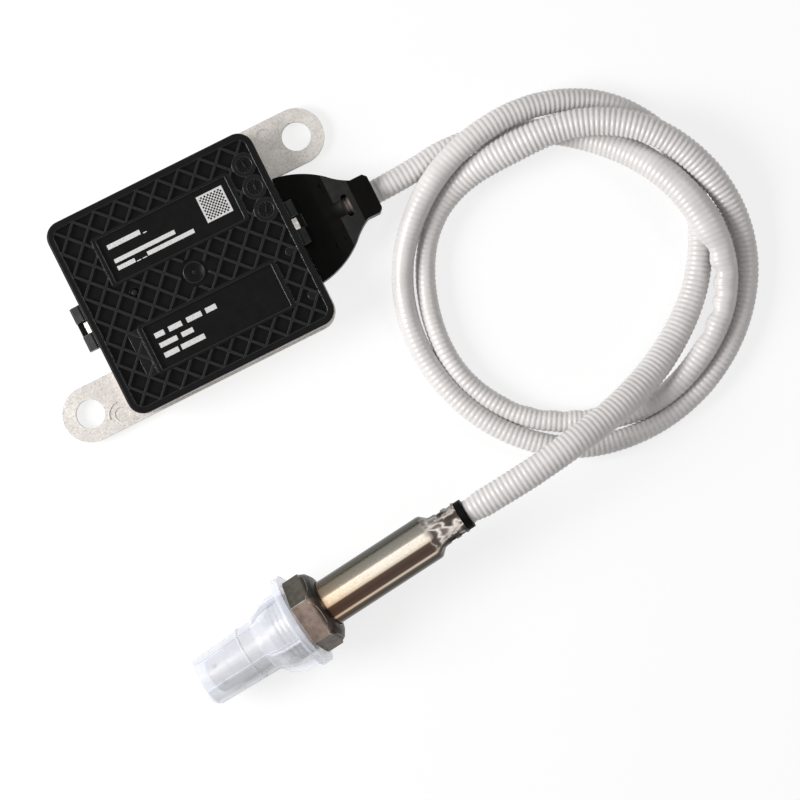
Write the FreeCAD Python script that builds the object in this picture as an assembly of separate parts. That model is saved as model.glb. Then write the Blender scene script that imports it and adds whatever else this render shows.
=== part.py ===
import FreeCAD, Part
import math
import os

# Nitrogen oxide sensor: a control module, a corrugated hose and a screw-in probe.
# Millimetres. The origin lies midway between the two bolt holes, on the module's underside.
# +X points along the module towards the harness guide, +Z up out of the cover.

V = FreeCAD.Vector

# Die-cast base of the control module
TRAY_X = 69.6
TRAY_Y = 65.6
TRAY_R = 6.0
FLOOR_T = 3.0
EAR_T = 3.0
EAR_W = 17.4
BOLT_SPAN_X = 94.7
BOLT_HOLE_D = 9.0
WALL_INSET_X = 0.3
WALL_INSET_Y = 0.8
WALL_T = 2.2
WALL_TOP = 12.5
EAR_MARK_R = 2.2
EAR_MARK_DEPTH = 0.25
EAR_MARK_IN = 8.8
EAR_STEP_R = 4.4
EAR_STEP_W = 0.5
EAR_STEP_H = 0.3
NOSE_W = 3.6
NOSE_OUT = 1.7
NOSE_H = 1.3

# Moulded cover
COVER_X = 69.2
COVER_Y = 64.2
COVER_R = 5.0
COVER_TOP = 17.0
RIM_W = 2.1
RIM_FILLET = 0.7
PANEL_DEPTH = 1.8
PANEL_T = 2.0
TONGUE_T = 1.4
TONGUE_DOWN = 3.6
TONGUE_GAP = 0.3
RIB_W = 0.65
RIB_DROP = 0.35
RIB_PITCH_X = 7.15
RIB_PITCH_Y = 7.5
LABEL_X = 46.7
LABEL_Y = 16.2
LABEL_SIDE_W = 1.5
LABEL_LONG_W = 0.85
LABEL_EDGE = 0.3
LABEL_FRAME_R = 1.0
LABEL_FLOOR_DROP = 1.2
LABEL_CENTRES = ((0.4, 14.6), (1.2, -15.3))
PAD_X = 3.4
PAD_Y = 14.9
PAD_DROP = 0.6
CLOCK_R = 3.7
CLOCK_WELL_R = 2.4
CLOCK_WELL_DEPTH = 0.9
CLOCK_X = 29.2
CLOCK_YS = (22.3, 14.8, 7.2)
GATE_AT = (1.1, -0.1)
GATE_R = 3.25
GATE_CLEAR_R = 4.6
GATE_H = 0.8
GATE_DISH_R = 9.0
GATE_NUB_R = 0.45
BUMP_R = 1.5
BUMP_AT = (-17.8, 2.4)
EJECTOR_R = 1.35
EJECTORS = ((30.0, -7.4), (30.2, -22.3))

# Snap loops on the cover's two sides
LOOP_Y = -0.5
LOOP_W = 14.3
LOOP_WINDOW = 4.3
LOOP_OUT = 3.5
LOOP_T = 1.8
LOOP_BAR_H = 1.6
LOOP_TOP_DROP = 1.0
LOOP_HOLD = 0.1

# Gasket in the rebate of the wall
GASKET_W = 0.9
GASKET_H = 1.1

# Circuit board and what it carries
BOARD_GAP = 0.8
BOARD_T = 1.6
BOARD_X = 62.8
BOARD_EDGE_CLEAR = 1.2
BOARD_BACK_CLEAR = 1.8
POST_R = 2.6
SCREW_R = 1.0
SCREW_HEAD_R = 2.1
SCREW_HEAD_H = 1.4
SCREW_LENGTH = 4.0
SCREW_INSET = 3.0
CHIP_SIZE = 14.0
CHIP_H = 1.4
CHIP_AT = (-6.0, -6.0)
CHIP_LEAD_COUNT = 8
CHIP_LEAD_W = 0.5
CHIP_LEAD_OUT = 1.0
CHIP_LEAD_H = 0.7
SIGNAL_SIZE = 7.0
SIGNAL_H = 1.1
SIGNAL_AT = (12.0, 3.0)
SIGNAL_LEAD_COUNT = 5
TRANSISTOR_X = 6.5
TRANSISTOR_Y = 6.0
TRANSISTOR_H = 2.3
TRANSISTORS = ((-20.0, 8.0), (-20.0, -2.0))
CAPACITOR_R = 3.1
CAPACITOR_H = 6.3
CAPACITORS = ((-20.0, -18.0), (-12.0, -20.0), (8.0, -20.0))

# Vehicle connector in the wall on the +Y side
SOCKET_W = 30.0
SOCKET_H = 8.0
SOCKET_Z = 3.2
SOCKET_OUT = 0.0
SOCKET_DEPTH = 9.0
SOCKET_WALL = 1.3
SOCKET_BACK = 2.0
PIN_COUNT = 5
PIN_PITCH = 5.0
PIN_W = 0.8
PIN_TIP_BACK = 4.8
PIN_BEND_IN = 2.2

# Harness guide, the fan-shaped shell that leads the wires into the hose
GUIDE_Y = -2.4
GUIDE_LENGTH = 26.3
GUIDE_BOTTOM = 0.6
GUIDE_ROOT_TOP = 9.2
GUIDE_NECK_TOP = 12.4
GUIDE_ROOT_HALF = 17.6
GUIDE_NECK_HALF = 6.4
GUIDE_WALL = 1.5
GUIDE_FLANK_AT = 8.5
GUIDE_BEND_AT = 15.0
GUIDE_HOLLOW_AT = 17.6
GUIDE_NECK_AT = 21.0
GUIDE_END_BEVEL = 1.2
GUIDE_ROOF_LOW = 9.0
GUIDE_ROOF_MID = 13.5
GUIDE_ROOF_RISE = 0.7
GUIDE_ROOF_HIGH = 20.0
GUIDE_SLOT_L = 7.1
GUIDE_SLOT_W = 2.2
GUIDE_SLOT_BACK = 9.2
GUIDE_FIT = 0.05
HOSE_IN_GUIDE = 12.0

# Hose and wires
HOSE_D = 7.6
HOSE_Z = 6.5
LEAD_COUNT = 6
LEAD_D = 1.4
LEAD_PITCH = 3.1
LEAD_BUNDLE_Y = 1.05
LEAD_BUNDLE_Z = 0.85
LEAD_BUNDLE_DROP = 0.4
SEAL_H = 4.2
SEAL_MARGIN = 2.2
SEAL_LIP = 0.8
TERMINAL_L = 4.5
TERMINAL_W = 1.9

# Where the probe lies: it leans on the cap's flange, tip down, and the hexagon's front face is station zero
PROBE_AT_X = -15.7
PROBE_AT_Y = -109.1
PROBE_TURN = 186.8
PROBE_TILT = 7.0

# Stations along the probe, plus towards the tip, and the radii there
HEX_AF = 22.0
HEX_L = 8.7
HEX_TURN = 23.5
HEX_CHAMFER_R = 12.0
HEX_CHAMFER_L = 0.4
HEX_FLAT_L = 5.9
HEX_SHOULDER_L = 7.05
HEX_SHOULDER_DROP = 0.6
HEX_BACK_L = 8.2
HEX_BACK_DROP = 2.3
HEX_COLLAR_T = 0.45
NUT_THREAD_R = 10.0
NUT_THREAD_L = 8.0
NUT_RELIEF_R = 9.2
NUT_RELIEF_L = 1.2
NUT_RUNNING = 0.08
NUT_POCKET_GAP = 0.35
NUT_POCKET_L = 2.4
BARREL_R = 7.3
SLEEVE_T = 0.6
SLEEVE_BEAD_OUT = 0.15
SLEEVE_BEAD_L = 1.4
SLEEVE_SHOULDER = -45.3
SLEEVE_SHOULDER_END = -49.0
CRIMP_R = 5.1
CRIMP_END = -57.1
CRIMP_ROWS = (-51.6, -55.2)
CRIMP_ROW_L = 2.2
CRIMP_SIDES = 8
CRIMP_DEPTH = 0.45
GROMMET_R = 4.75
GROMMET_TAIL = -59.2
HOUSING_FRONT = 19.5
HOUSING_FLANGE_OUT = 0.8
HOUSING_FLANGE_L = 2.0
HOUSING_NOSE_R = 6.7
HOUSING_BORE_R = 5.2
SEAT_GAP = 0.2
CERAMIC_L = 7.0
POWDER_L = 8.0
CERAMIC_BACK = -5.0
ELEMENT_W = 4.2
ELEMENT_T = 1.3
ELEMENT_BACK = -27.0
ELEMENT_FRONT = 28.0
SHIELD_T = 0.5
SHIELD_STEP = 26.7
SHIELD_TIP = 33.5
SHIELD_TIP_R = 5.7
SHIELD_GROOVES = (20.6, 21.9, 23.2)
SHIELD_GROOVE_W = 0.5
SHIELD_GROOVE_DEPTH = 0.3
SHIELD_HOLES = 6
SHIELD_HOLE_R = 0.9
SHIELD_HOLE_AT = 30.4
INNER_SHIELD_R = 4.2
INNER_SHIELD_TIP = 31.0
INNER_SHIELD_SEAT = 2.0
HOLDER_GAP = 0.9
HOLDER_BACK = -33.0
HOLDER_FRONT = -19.0
CONTACT_W = 0.9
CONTACT_T = 0.4
CONTACT_L = 12.0
CONTACT_PITCH = 1.4
PROBE_LEAD_D = 1.2
PROBE_LEAD_RING = 2.6

# Protective cap over the thread and the nose
CAP_FLANGE_R = 15.1
CAP_FLANGE_T = 2.4
CAP_FIT = 0.3
CAP_WALL = 0.85
CAP_BODY_OUT = 1.5
CAP_SHOULDER = 10.2
CAP_SHOULDER_OUT = 0.6
CAP_BAND = 12.8
CAP_BAND_OUT = 0.55
CAP_RING = 14.4
CAP_RING_OUT = 0.45
CAP_DRAFT = 0.75
CAP_NOSE_GAP = 0.2
CAP_BEAD = 19.8
CAP_BEAD_OUT = 0.15
CAP_BEAD_W = 0.6
CAP_END = 37.0
CAP_BORE_STEP = 1.2
CAP_RIBS = 5
CAP_RIB_FIRST = -19.0
CAP_RIB_T = 0.7
CAP_RIB_H = 0.35
CAP_GUSSET_R = 14.2
CAP_GUSSET_FLAT = 8.5
CAP_GUSSET_DROP = 0.5
CAP_GUSSET_MID = 12.0
CAP_GUSSET_MID_R = 11.8

# The hose's route from the guide to the probe, as it lies on the table
HOSE_ROUTE = [
    (69.3, -2.4, 6.5), (89.7, 0.4, 4.2), (112.7, -5.8, 3.8), (131.5, -18.9, 5.5), (144.1, -37.2, 11.5),
    (149.7, -58.5, 12.5), (145.5, -77.3, 9), (130.5, -91.6, 8), (109, -98.8, 6), (87.2, -93.3, 3.8),
    (70.1, -81.6, 3.8), (60.4, -63, 3.8), (61.3, -42, 3.8), (70.2, -22.9, 4), (84.6, -11.4, 7),
    (104, -8.3, 12.5), (126, -10.3, 13), (145.1, -22.1, 14), (156, -43.2, 11.5), (157.8, -65.9, 4.5),
    (147.8, -86.5, 3.8), (128.3, -101.1, 3.8), (104.8, -106.5, 3.8), (81.4, -101.6, 3.8),
    (63.8, -87.4, 3.8), (53, -67.9, 3.8), (50.6, -45.4, 4), (58, -23.7, 7), (76.1, -7.4, 12),
    (97.1, 0.2, 12.8), (119.3, 1.2, 9), (139, -9.3, 3.8), (150.8, -29.3, 3.8), (148.8, -51.8, 3.8),
    (137.1, -72.3, 3.8), (118.4, -86.1, 8.5), (98.4, -93.8, 18), (77.9, -97.6, 24.4)]
HOSE_LAST_RUN = 18.0
ARC_SHARE = 0.45

# Sizes that follow from the ones above
BOLT_X = BOLT_SPAN_X / 2
BOLT_Y = TRAY_Y / 2 - EAR_W / 2
WALL_X = TRAY_X - 2 * WALL_INSET_X
WALL_Y = TRAY_Y - 2 * WALL_INSET_Y
WALL_R = TRAY_R - WALL_INSET_X
INNER_X = WALL_X - 2 * WALL_T
INNER_Y = WALL_Y - 2 * WALL_T
INNER_R = WALL_R - WALL_T
PANEL_Z = COVER_TOP - PANEL_DEPTH
NOSE_BOTTOM = WALL_TOP - NOSE_H
BOARD_Z = FLOOR_T + BOARD_GAP
BOARD_TOP = BOARD_Z + BOARD_T
SOCKET_FRONT = WALL_Y / 2 + SOCKET_OUT
SOCKET_REAR = SOCKET_FRONT - SOCKET_DEPTH - SOCKET_BACK
BOARD_Y0 = -INNER_Y / 2 + BOARD_EDGE_CLEAR
BOARD_Y1 = SOCKET_REAR - BOARD_BACK_CLEAR
PIN_Z = SOCKET_Z + SOCKET_H / 2
PIN_BEND_Y = BOARD_Y1 - PIN_BEND_IN
GUIDE_X0 = TRAY_X / 2
GUIDE_X1 = GUIDE_X0 + GUIDE_LENGTH
LEAD_Z = (GUIDE_BOTTOM + GUIDE_ROOT_TOP) / 2 + 1.3
HOSE_START_X = GUIDE_X1 - HOSE_IN_GUIDE
TILT = math.radians(PROBE_TILT)
PROBE_Z = CAP_FLANGE_R * math.cos(TILT) + CAP_FLANGE_T * math.sin(TILT)
NUT_POCKET_R = BARREL_R + NUT_POCKET_GAP
SLEEVE_BEAD_R = BARREL_R + SLEEVE_BEAD_OUT
HOUSING_FLANGE_R = BARREL_R + HOUSING_FLANGE_OUT
HOLDER_R = BARREL_R - SLEEVE_T - HOLDER_GAP
CAP_MOUTH_R = NUT_THREAD_R + CAP_FIT
CAP_BODY_R = CAP_MOUTH_R + CAP_BODY_OUT
CAP_SHOULDER_R = CAP_MOUTH_R + CAP_SHOULDER_OUT
CAP_END_R = HOUSING_NOSE_R + CAP_NOSE_GAP + CAP_WALL
CAP_NECK_R = CAP_END_R + CAP_DRAFT
CAP_RING_R = CAP_NECK_R + CAP_RING_OUT
CAP_BAND_R = CAP_RING_R + CAP_BAND_OUT
SLEEVE_FRONT = -HEX_L + NUT_POCKET_L - SEAT_GAP
POWDER_BACK = CERAMIC_BACK + CERAMIC_L
POWDER_FRONT = POWDER_BACK + POWDER_L
CERAMIC_FRONT = POWDER_FRONT + CERAMIC_L / 2
FLANGE_BACK = NUT_THREAD_L + SEAT_GAP


def rounded_slab(size_x, size_y, radius, z0, z1, at=(0.0, 0.0)):
    """A slab with four round corners, centred on at."""
    hx, hy = size_x / 2, size_y / 2
    k = radius * (1 - math.sqrt(0.5))
    corners = []
    for sx, sy in ((1, -1), (1, 1), (-1, 1), (-1, -1)):
        a = V(sx * hx, sy * (hy - radius), 0)
        m = V(sx * (hx - k), sy * (hy - k), 0)
        b = V(sx * (hx - radius), sy * hy, 0)
        corners.append((a, m, b) if sx * sy > 0 else (b, m, a))
    edges = []
    for i, (a, m, b) in enumerate(corners):
        edges.append(Part.Arc(a, m, b).toShape())
        edges.append(Part.LineSegment(b, corners[(i + 1) % 4][0]).toShape())
    face = Part.Face(Part.Wire(edges))
    slab = face.extrude(V(0, 0, z1 - z0))
    slab.translate(V(at[0], at[1], z0))
    return slab


def box(x0, x1, y0, y1, z0, z1):
    """A box between two corners."""
    return Part.makeBox(x1 - x0, y1 - y0, z1 - z0, V(x0, y0, z0))


def post(radius, z0, z1, x, y):
    """An upright cylinder."""
    return Part.makeCylinder(radius, z1 - z0, V(x, y, z0))


def prism_along_y(profile, y0, y1):
    """A profile of (x, z) points, extruded along Y."""
    points = [V(x, y0, z) for x, z in profile]
    face = Part.Face(Part.makePolygon(points + points[:1]))
    return face.extrude(V(0, y1 - y0, 0))


def turned(profile):
    """A profile of (station, radius) points, revolved about the X axis."""
    points = [V(u, 0, r) for u, r in profile]
    face = Part.Face(Part.makePolygon(points + points[:1]))
    return face.revolve(V(0, 0, 0), V(1, 0, 0), 360)


def on_axis(radius, u0, u1, y=0.0, z=0.0):
    """A cylinder along X between two stations."""
    return Part.makeCylinder(radius, u1 - u0, V(u0, y, z), V(1, 0, 0))


def placed_on_probe(shape):
    """Turn a shape made along X onto the probe's axis."""
    moved = shape.copy()
    moved.rotate(V(0, 0, 0), V(0, 1, 0), PROBE_TILT)
    moved.rotate(V(0, 0, 0), V(0, 0, 1), PROBE_TURN)
    moved.translate(V(PROBE_AT_X, PROBE_AT_Y, PROBE_Z))
    return moved


def probe_point(station):
    """The point on the probe's axis at a station."""
    turn = math.radians(PROBE_TURN)
    along = station * math.cos(TILT)
    return V(PROBE_AT_X + along * math.cos(turn), PROBE_AT_Y + along * math.sin(turn),
             PROBE_Z - station * math.sin(TILT))


def tube(points, radius, report=""):
    """A round tube along straight runs joined by tangent arcs."""
    edges = []
    radii = []
    last = points[0]
    for before, corner, after in zip(points, points[1:], points[2:]):
        run_in, run_out = corner - before, after - corner
        half_turn = run_in.getAngle(run_out) / 2
        reach = ARC_SHARE * min(run_in.Length, run_out.Length)
        into = V(run_in).normalize()
        out = V(run_out).normalize()
        arc_radius = reach / math.tan(half_turn)
        radii.append(arc_radius)
        start, end = corner - into * reach, corner + out * reach
        inward = (out - into).normalize()
        middle = corner + inward * (arc_radius / math.cos(half_turn) - arc_radius)
        edges.append(Part.LineSegment(last, start).toShape())
        edges.append(Part.Arc(start, middle, end).toShape())
        last = end
    edges.append(Part.LineSegment(last, points[-1]).toShape())
    path = Part.Wire(edges)
    first_run = points[1] - points[0]
    section = Part.Wire(Part.makeCircle(radius, points[0], first_run))
    solid = path.makePipeShell([section], True, False)
    if report:
        length = path.Length
        share = solid.Volume / (math.pi * radius ** 2 * length)
        print(report, "length", round(length, 1), "volume share", round(share, 4))
        print(report, "radii", [round(r) for r in radii])
    return solid


def fused(shapes):
    """One solid from shapes that touch or overlap."""
    whole = shapes[0].multiFuse(shapes[1:])
    return whole.removeSplitter()


def group(shapes):
    """Separate solids kept together in one node."""
    return Part.makeCompound(shapes)


def ear(side):
    """One mounting ear: side 1 lies on +X and +Y, side -1 opposite."""
    y0, y1 = sorted((side * TRAY_Y / 2, side * (TRAY_Y / 2 - EAR_W)))
    x0, x1 = sorted((side * (TRAY_X / 2 - TRAY_R), side * BOLT_X))
    arm = box(x0, x1, y0, y1, 0, EAR_T)
    return arm.fuse(post(EAR_W / 2, 0, EAR_T, side * BOLT_X, side * BOLT_Y))


def ear_marks(side):
    """The pin mark sunk in an ear and the raised arc round it."""
    x, y = side * (BOLT_X - EAR_MARK_IN), side * (BOLT_Y + EAR_MARK_R * 2)
    mark = post(EAR_MARK_R, EAR_T - EAR_MARK_DEPTH, EAR_T + 1, x, y)
    ring = post(EAR_STEP_R, EAR_T, EAR_T + EAR_STEP_H, x, y)
    ring = ring.cut(post(EAR_STEP_R - EAR_STEP_W, EAR_T, EAR_T + 1, x, y))
    x0, x1 = sorted((x, x + side * EAR_STEP_R))
    y0, y1 = sorted((y - side * EAR_STEP_R, y))
    return mark, ring.common(box(x0, x1, y0, y1, EAR_T, EAR_T + 1))


def nose(side):
    """The hook on the base's wall that a snap loop catches."""
    x0, x1 = WALL_X / 2 - 0.5, WALL_X / 2 + NOSE_OUT
    profile = [(x0, NOSE_BOTTOM), (x1, NOSE_BOTTOM), (x1, NOSE_BOTTOM + NOSE_H / 2), (x0, WALL_TOP)]
    solid = prism_along_y([(side * x, z) for x, z in profile], LOOP_Y - NOSE_W / 2, LOOP_Y + NOSE_W / 2)
    return solid


def screw_places():
    """The four places of the board's screws."""
    x = BOARD_X / 2 - SCREW_INSET
    return [(sx * x, y) for sx in (-1, 1) for y in (BOARD_Y0 + SCREW_INSET, BOARD_Y1 - SCREW_INSET)]


def lead_ys():
    """The places of the leads across the seal."""
    return [GUIDE_Y + (i - (LEAD_COUNT - 1) / 2) * LEAD_PITCH for i in range(LEAD_COUNT)]


def seal_half():
    """Half the length of the wire seal."""
    return (LEAD_COUNT - 1) / 2 * LEAD_PITCH + SEAL_MARGIN


def base_housing():
    """The die-cast tray with its two ears."""
    solid = rounded_slab(TRAY_X, TRAY_Y, TRAY_R, 0, FLOOR_T)
    wall = rounded_slab(WALL_X, WALL_Y, WALL_R, FLOOR_T, WALL_TOP)
    wall = wall.cut(rounded_slab(INNER_X, INNER_Y, INNER_R, FLOOR_T, WALL_TOP))
    rebate = rounded_slab(INNER_X + 2 * GASKET_W, INNER_Y + 2 * GASKET_W, INNER_R + GASKET_W,
                          WALL_TOP - GASKET_H, WALL_TOP)
    wall = wall.cut(rebate)
    pieces = [solid, wall, ear(1), ear(-1), nose(1), nose(-1)]
    marks = []
    for side in (1, -1):
        mark, arc = ear_marks(side)
        marks.append(mark)
        pieces.append(arc)
    for x, y in screw_places():
        pieces.append(post(POST_R, FLOOR_T, BOARD_Z, x, y))
    solid = fused(pieces)
    cuts = marks
    for side in (1, -1):
        cuts.append(post(BOLT_HOLE_D / 2, -1, EAR_T + 1, side * BOLT_X, side * BOLT_Y))
    for x, y in screw_places():
        cuts.append(post(SCREW_R, BOARD_TOP - SCREW_LENGTH, BOARD_Z + 1, x, y))
    cuts.append(socket_block())
    cuts.append(box(INNER_X / 2 - 1, WALL_X / 2 + 1, GUIDE_Y - seal_half(), GUIDE_Y + seal_half(),
                    LEAD_Z - SEAL_H / 2, LEAD_Z + SEAL_H / 2))
    for cut in cuts:
        solid = solid.cut(cut)
    return solid


def lattice():
    """The crossing ribs that stiffen the cover's face."""
    length = COVER_X + COVER_Y
    angle = math.degrees(math.atan2(RIB_PITCH_Y, RIB_PITCH_X))
    ribs = []
    reach = int(COVER_X / RIB_PITCH_X / 2 + COVER_Y / RIB_PITCH_Y / 2) + 1
    for direction in (1, -1):
        for k in range(-reach, reach):
            start = (k + 0.5) * RIB_PITCH_X
            rib = box(-length, length, -RIB_W / 2, RIB_W / 2, PANEL_Z - 0.3, COVER_TOP - RIB_DROP)
            rib.rotate(V(0, 0, 0), V(0, 0, 1), direction * angle)
            rib.translate(V(start, 0, 0))
            ribs.append(rib)
    field = rounded_slab(COVER_X - 2 * RIM_W + 0.2, COVER_Y - 2 * RIM_W + 0.2, COVER_R - RIM_W,
                         PANEL_Z - 0.3, COVER_TOP)
    ribs = [rib.common(field) for rib in ribs]
    ribs = [rib for rib in ribs if rib.Volume > 0.01]
    return fused(ribs)


def label_places():
    """The two label fields, as slabs over the whole depth of the ribs."""
    z0, z1 = PANEL_Z - 0.3, COVER_TOP + 1
    return [rounded_slab(LABEL_X, LABEL_Y, LABEL_FRAME_R, z0, z1, at) for at in LABEL_CENTRES]


def label_frames():
    """A raised frame round each label with a sunk floor inside it."""
    frames = []
    for x, y in LABEL_CENTRES:
        top = COVER_TOP
        frame = rounded_slab(LABEL_X, LABEL_Y, LABEL_FRAME_R, PANEL_Z - 0.3, top, (x, y))
        frame = frame.makeChamfer(LABEL_EDGE, [e for e in frame.Edges if e.BoundBox.ZMin > top - 0.01])
        inner_x, inner_y = LABEL_X - 2 * LABEL_SIDE_W, LABEL_Y - 2 * LABEL_LONG_W
        floor = COVER_TOP - LABEL_FLOOR_DROP
        well = rounded_slab(inner_x, inner_y, LABEL_FRAME_R / 2, floor, top + 1, (x, y))
        frames.append(frame.cut(well))
    return frames


def clock_boss(y):
    """A date-mark boss with its round well."""
    boss = post(CLOCK_R, PANEL_Z - 0.3, COVER_TOP - RIB_DROP / 2, CLOCK_X, y)
    return boss.cut(post(CLOCK_WELL_R, COVER_TOP - CLOCK_WELL_DEPTH, COVER_TOP + 1, CLOCK_X, y))


def gate_dish():
    """The shallow dish with a nub where the plastic was shot in."""
    x, y = GATE_AT
    boss = post(GATE_R, PANEL_Z - 0.3, PANEL_Z + GATE_H, x, y)
    ball = Part.makeSphere(GATE_DISH_R, V(x, y, PANEL_Z + GATE_DISH_R + 0.1))
    nub = post(GATE_NUB_R, PANEL_Z - 0.3, PANEL_Z + GATE_H * 0.7, x, y)
    return boss.cut(ball).fuse(nub)


def snap_loop(side):
    """A loop that grows out of the rim, turns down and ends in a cross bar."""
    top = COVER_TOP - LOOP_TOP_DROP
    x0, x1 = COVER_X / 2 - RIM_W / 2, COVER_X / 2 + LOOP_OUT
    bottom = NOSE_BOTTOM - LOOP_HOLD - LOOP_BAR_H
    bend = LOOP_OUT * 0.8
    outer = [(x0, top), (x1 - bend, top), (x1 - bend * 0.3, top - bend * 0.3), (x1, top - bend)]
    inner = [(x1 - LOOP_T, top - bend), (x1 - LOOP_T - 0.5, top - LOOP_T), (x0, top - LOOP_T)]
    lug = outer + [(x1, bottom), (x1 - LOOP_T, bottom)] + inner
    y0, y1 = LOOP_Y - LOOP_W / 2, LOOP_Y + LOOP_W / 2
    solid = prism_along_y([(side * x, z) for x, z in lug], y0, y1)
    w0, w1 = sorted((side * (COVER_X / 2), side * (x1 + 1)))
    window = box(w0, w1, LOOP_Y - LOOP_WINDOW / 2, LOOP_Y + LOOP_WINDOW / 2,
                 NOSE_BOTTOM - LOOP_HOLD, top + 1)
    bar_in = WALL_X / 2 + TONGUE_GAP
    b0, b1 = sorted((side * bar_in, side * x1))
    bar = box(b0, b1, y0, y1, bottom, NOSE_BOTTOM - LOOP_HOLD)
    return solid.cut(window).fuse(bar)


def cover():
    """The black moulded cover with its ribs, frames, bosses and snap loops."""
    skirt = rounded_slab(COVER_X, COVER_Y, COVER_R, WALL_TOP, COVER_TOP)
    top_edges = [e for e in skirt.Edges if min(v.Z for v in e.Vertexes) > COVER_TOP - 0.01]
    skirt = skirt.makeFillet(RIM_FILLET, top_edges)
    inner_x, inner_y, inner_r = COVER_X - 2 * RIM_W, COVER_Y - 2 * RIM_W, COVER_R - RIM_W
    skirt = skirt.cut(rounded_slab(inner_x, inner_y, inner_r, PANEL_Z, COVER_TOP + 1))
    skirt = skirt.cut(rounded_slab(inner_x, inner_y, inner_r, WALL_TOP - 1, PANEL_Z - PANEL_T))
    tongue_x, tongue_y = INNER_X - 2 * TONGUE_GAP, INNER_Y - 2 * TONGUE_GAP
    tongue_r = INNER_R - TONGUE_GAP
    tongue = rounded_slab(tongue_x, tongue_y, tongue_r, WALL_TOP - TONGUE_DOWN, PANEL_Z - PANEL_T)
    tongue = tongue.cut(rounded_slab(tongue_x - 2 * TONGUE_T, tongue_y - 2 * TONGUE_T, tongue_r - TONGUE_T,
                                     WALL_TOP - TONGUE_DOWN, PANEL_Z - PANEL_T))
    tongue = tongue.cut(tongue_notches())
    keep_out = label_places()
    keep_out += [post(CLOCK_R, PANEL_Z - 1, COVER_TOP + 1, CLOCK_X, y) for y in CLOCK_YS]
    keep_out.append(post(GATE_CLEAR_R, PANEL_Z - 1, COVER_TOP + 1, *GATE_AT))
    ribs = lattice()
    for place in keep_out:
        ribs = ribs.cut(place)
    pad_x = LABEL_CENTRES[1][0] - LABEL_X / 2 - PAD_X / 2
    pad = rounded_slab(PAD_X + 0.4, PAD_Y, 1.0, PANEL_Z - 0.3, COVER_TOP - PAD_DROP,
                       (pad_x + 0.2, LABEL_CENTRES[1][1]))
    bump = Part.makeSphere(BUMP_R, V(BUMP_AT[0], BUMP_AT[1], PANEL_Z))
    bump = bump.common(box(-COVER_X, COVER_X, -COVER_Y, COVER_Y, PANEL_Z - 0.3, COVER_TOP))
    pieces = [skirt, tongue] + ribs.Solids + label_frames() + [pad, bump, gate_dish()]
    pieces += [clock_boss(y) for y in CLOCK_YS]
    pieces += [post(EJECTOR_R, PANEL_Z - 0.3, COVER_TOP - PAD_DROP, x, y) for x, y in EJECTORS]
    pieces += [snap_loop(1), snap_loop(-1)]
    return fused(pieces)


def tongue_notches():
    """Gaps in the cover's tongue over the connector and the wire seal."""
    over_socket = box(-SOCKET_W / 2 - 1, SOCKET_W / 2 + 1, 0, TRAY_Y, FLOOR_T,
                      SOCKET_Z + SOCKET_H + TONGUE_GAP)
    over_seal = box(0, TRAY_X, GUIDE_Y - seal_half() - 1, GUIDE_Y + seal_half() + 1, FLOOR_T,
                    LEAD_Z + SEAL_H / 2 + TONGUE_GAP)
    return over_socket.fuse(over_seal)


def cover_gasket():
    """The rubber ring in the rebate between base and cover."""
    z0 = WALL_TOP - GASKET_H
    outer = rounded_slab(INNER_X + 2 * GASKET_W, INNER_Y + 2 * GASKET_W, INNER_R + GASKET_W, z0, WALL_TOP)
    return outer.cut(rounded_slab(INNER_X, INNER_Y, INNER_R, z0, WALL_TOP))


def socket_block():
    """The outer block of the vehicle connector."""
    return box(-SOCKET_W / 2, SOCKET_W / 2, SOCKET_REAR, SOCKET_FRONT, SOCKET_Z, SOCKET_Z + SOCKET_H)


def connector_pin(x):
    """One bent pin, from the socket down into the board."""
    half = PIN_W / 2
    tip = SOCKET_FRONT - PIN_TIP_BACK
    level = box(x - half, x + half, PIN_BEND_Y - half, tip, PIN_Z - half, PIN_Z + half)
    drop = box(x - half, x + half, PIN_BEND_Y - half, PIN_BEND_Y + half, BOARD_Z, PIN_Z + half)
    return level.fuse(drop).removeSplitter()


def pin_xs():
    """The places of the connector's pins."""
    return [(i - (PIN_COUNT - 1) / 2) * PIN_PITCH for i in range(PIN_COUNT)]


def connector_pins():
    """The pins of the vehicle connector."""
    return group([connector_pin(x) for x in pin_xs()])


def vehicle_connector():
    """The plastic socket in the wall, open towards +Y."""
    block = socket_block()
    vertical = [e for e in block.Edges if abs(e.tangentAt(e.FirstParameter).y) > 0.9]
    block = block.makeFillet(0.6, vertical)
    hole = box(-SOCKET_W / 2 + SOCKET_WALL, SOCKET_W / 2 - SOCKET_WALL, SOCKET_REAR + SOCKET_BACK,
               SOCKET_FRONT + 1, SOCKET_Z + SOCKET_WALL, SOCKET_Z + SOCKET_H - SOCKET_WALL)
    return block.cut(hole).cut(connector_pins())


def circuit_board():
    """The board, with holes for its screws and the connector's pins."""
    size_y = BOARD_Y1 - BOARD_Y0
    board = rounded_slab(BOARD_X, size_y, 1.5, BOARD_Z, BOARD_TOP, (0, (BOARD_Y0 + BOARD_Y1) / 2))
    for x, y in screw_places():
        board = board.cut(post(SCREW_R, BOARD_Z - 1, BOARD_TOP + 1, x, y))
    return board.cut(connector_pins())


def board_screws():
    """Four pan-head screws."""
    screws = []
    for x, y in screw_places():
        head = post(SCREW_HEAD_R, BOARD_TOP, BOARD_TOP + SCREW_HEAD_H, x, y)
        head = head.cut(post(SCREW_R * 0.8, BOARD_TOP + SCREW_HEAD_H / 2, BOARD_TOP + SCREW_HEAD_H + 1, x, y))
        screws.append(head.fuse(post(SCREW_R, BOARD_TOP - SCREW_LENGTH, BOARD_TOP, x, y)).removeSplitter())
    return group(screws)


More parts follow.
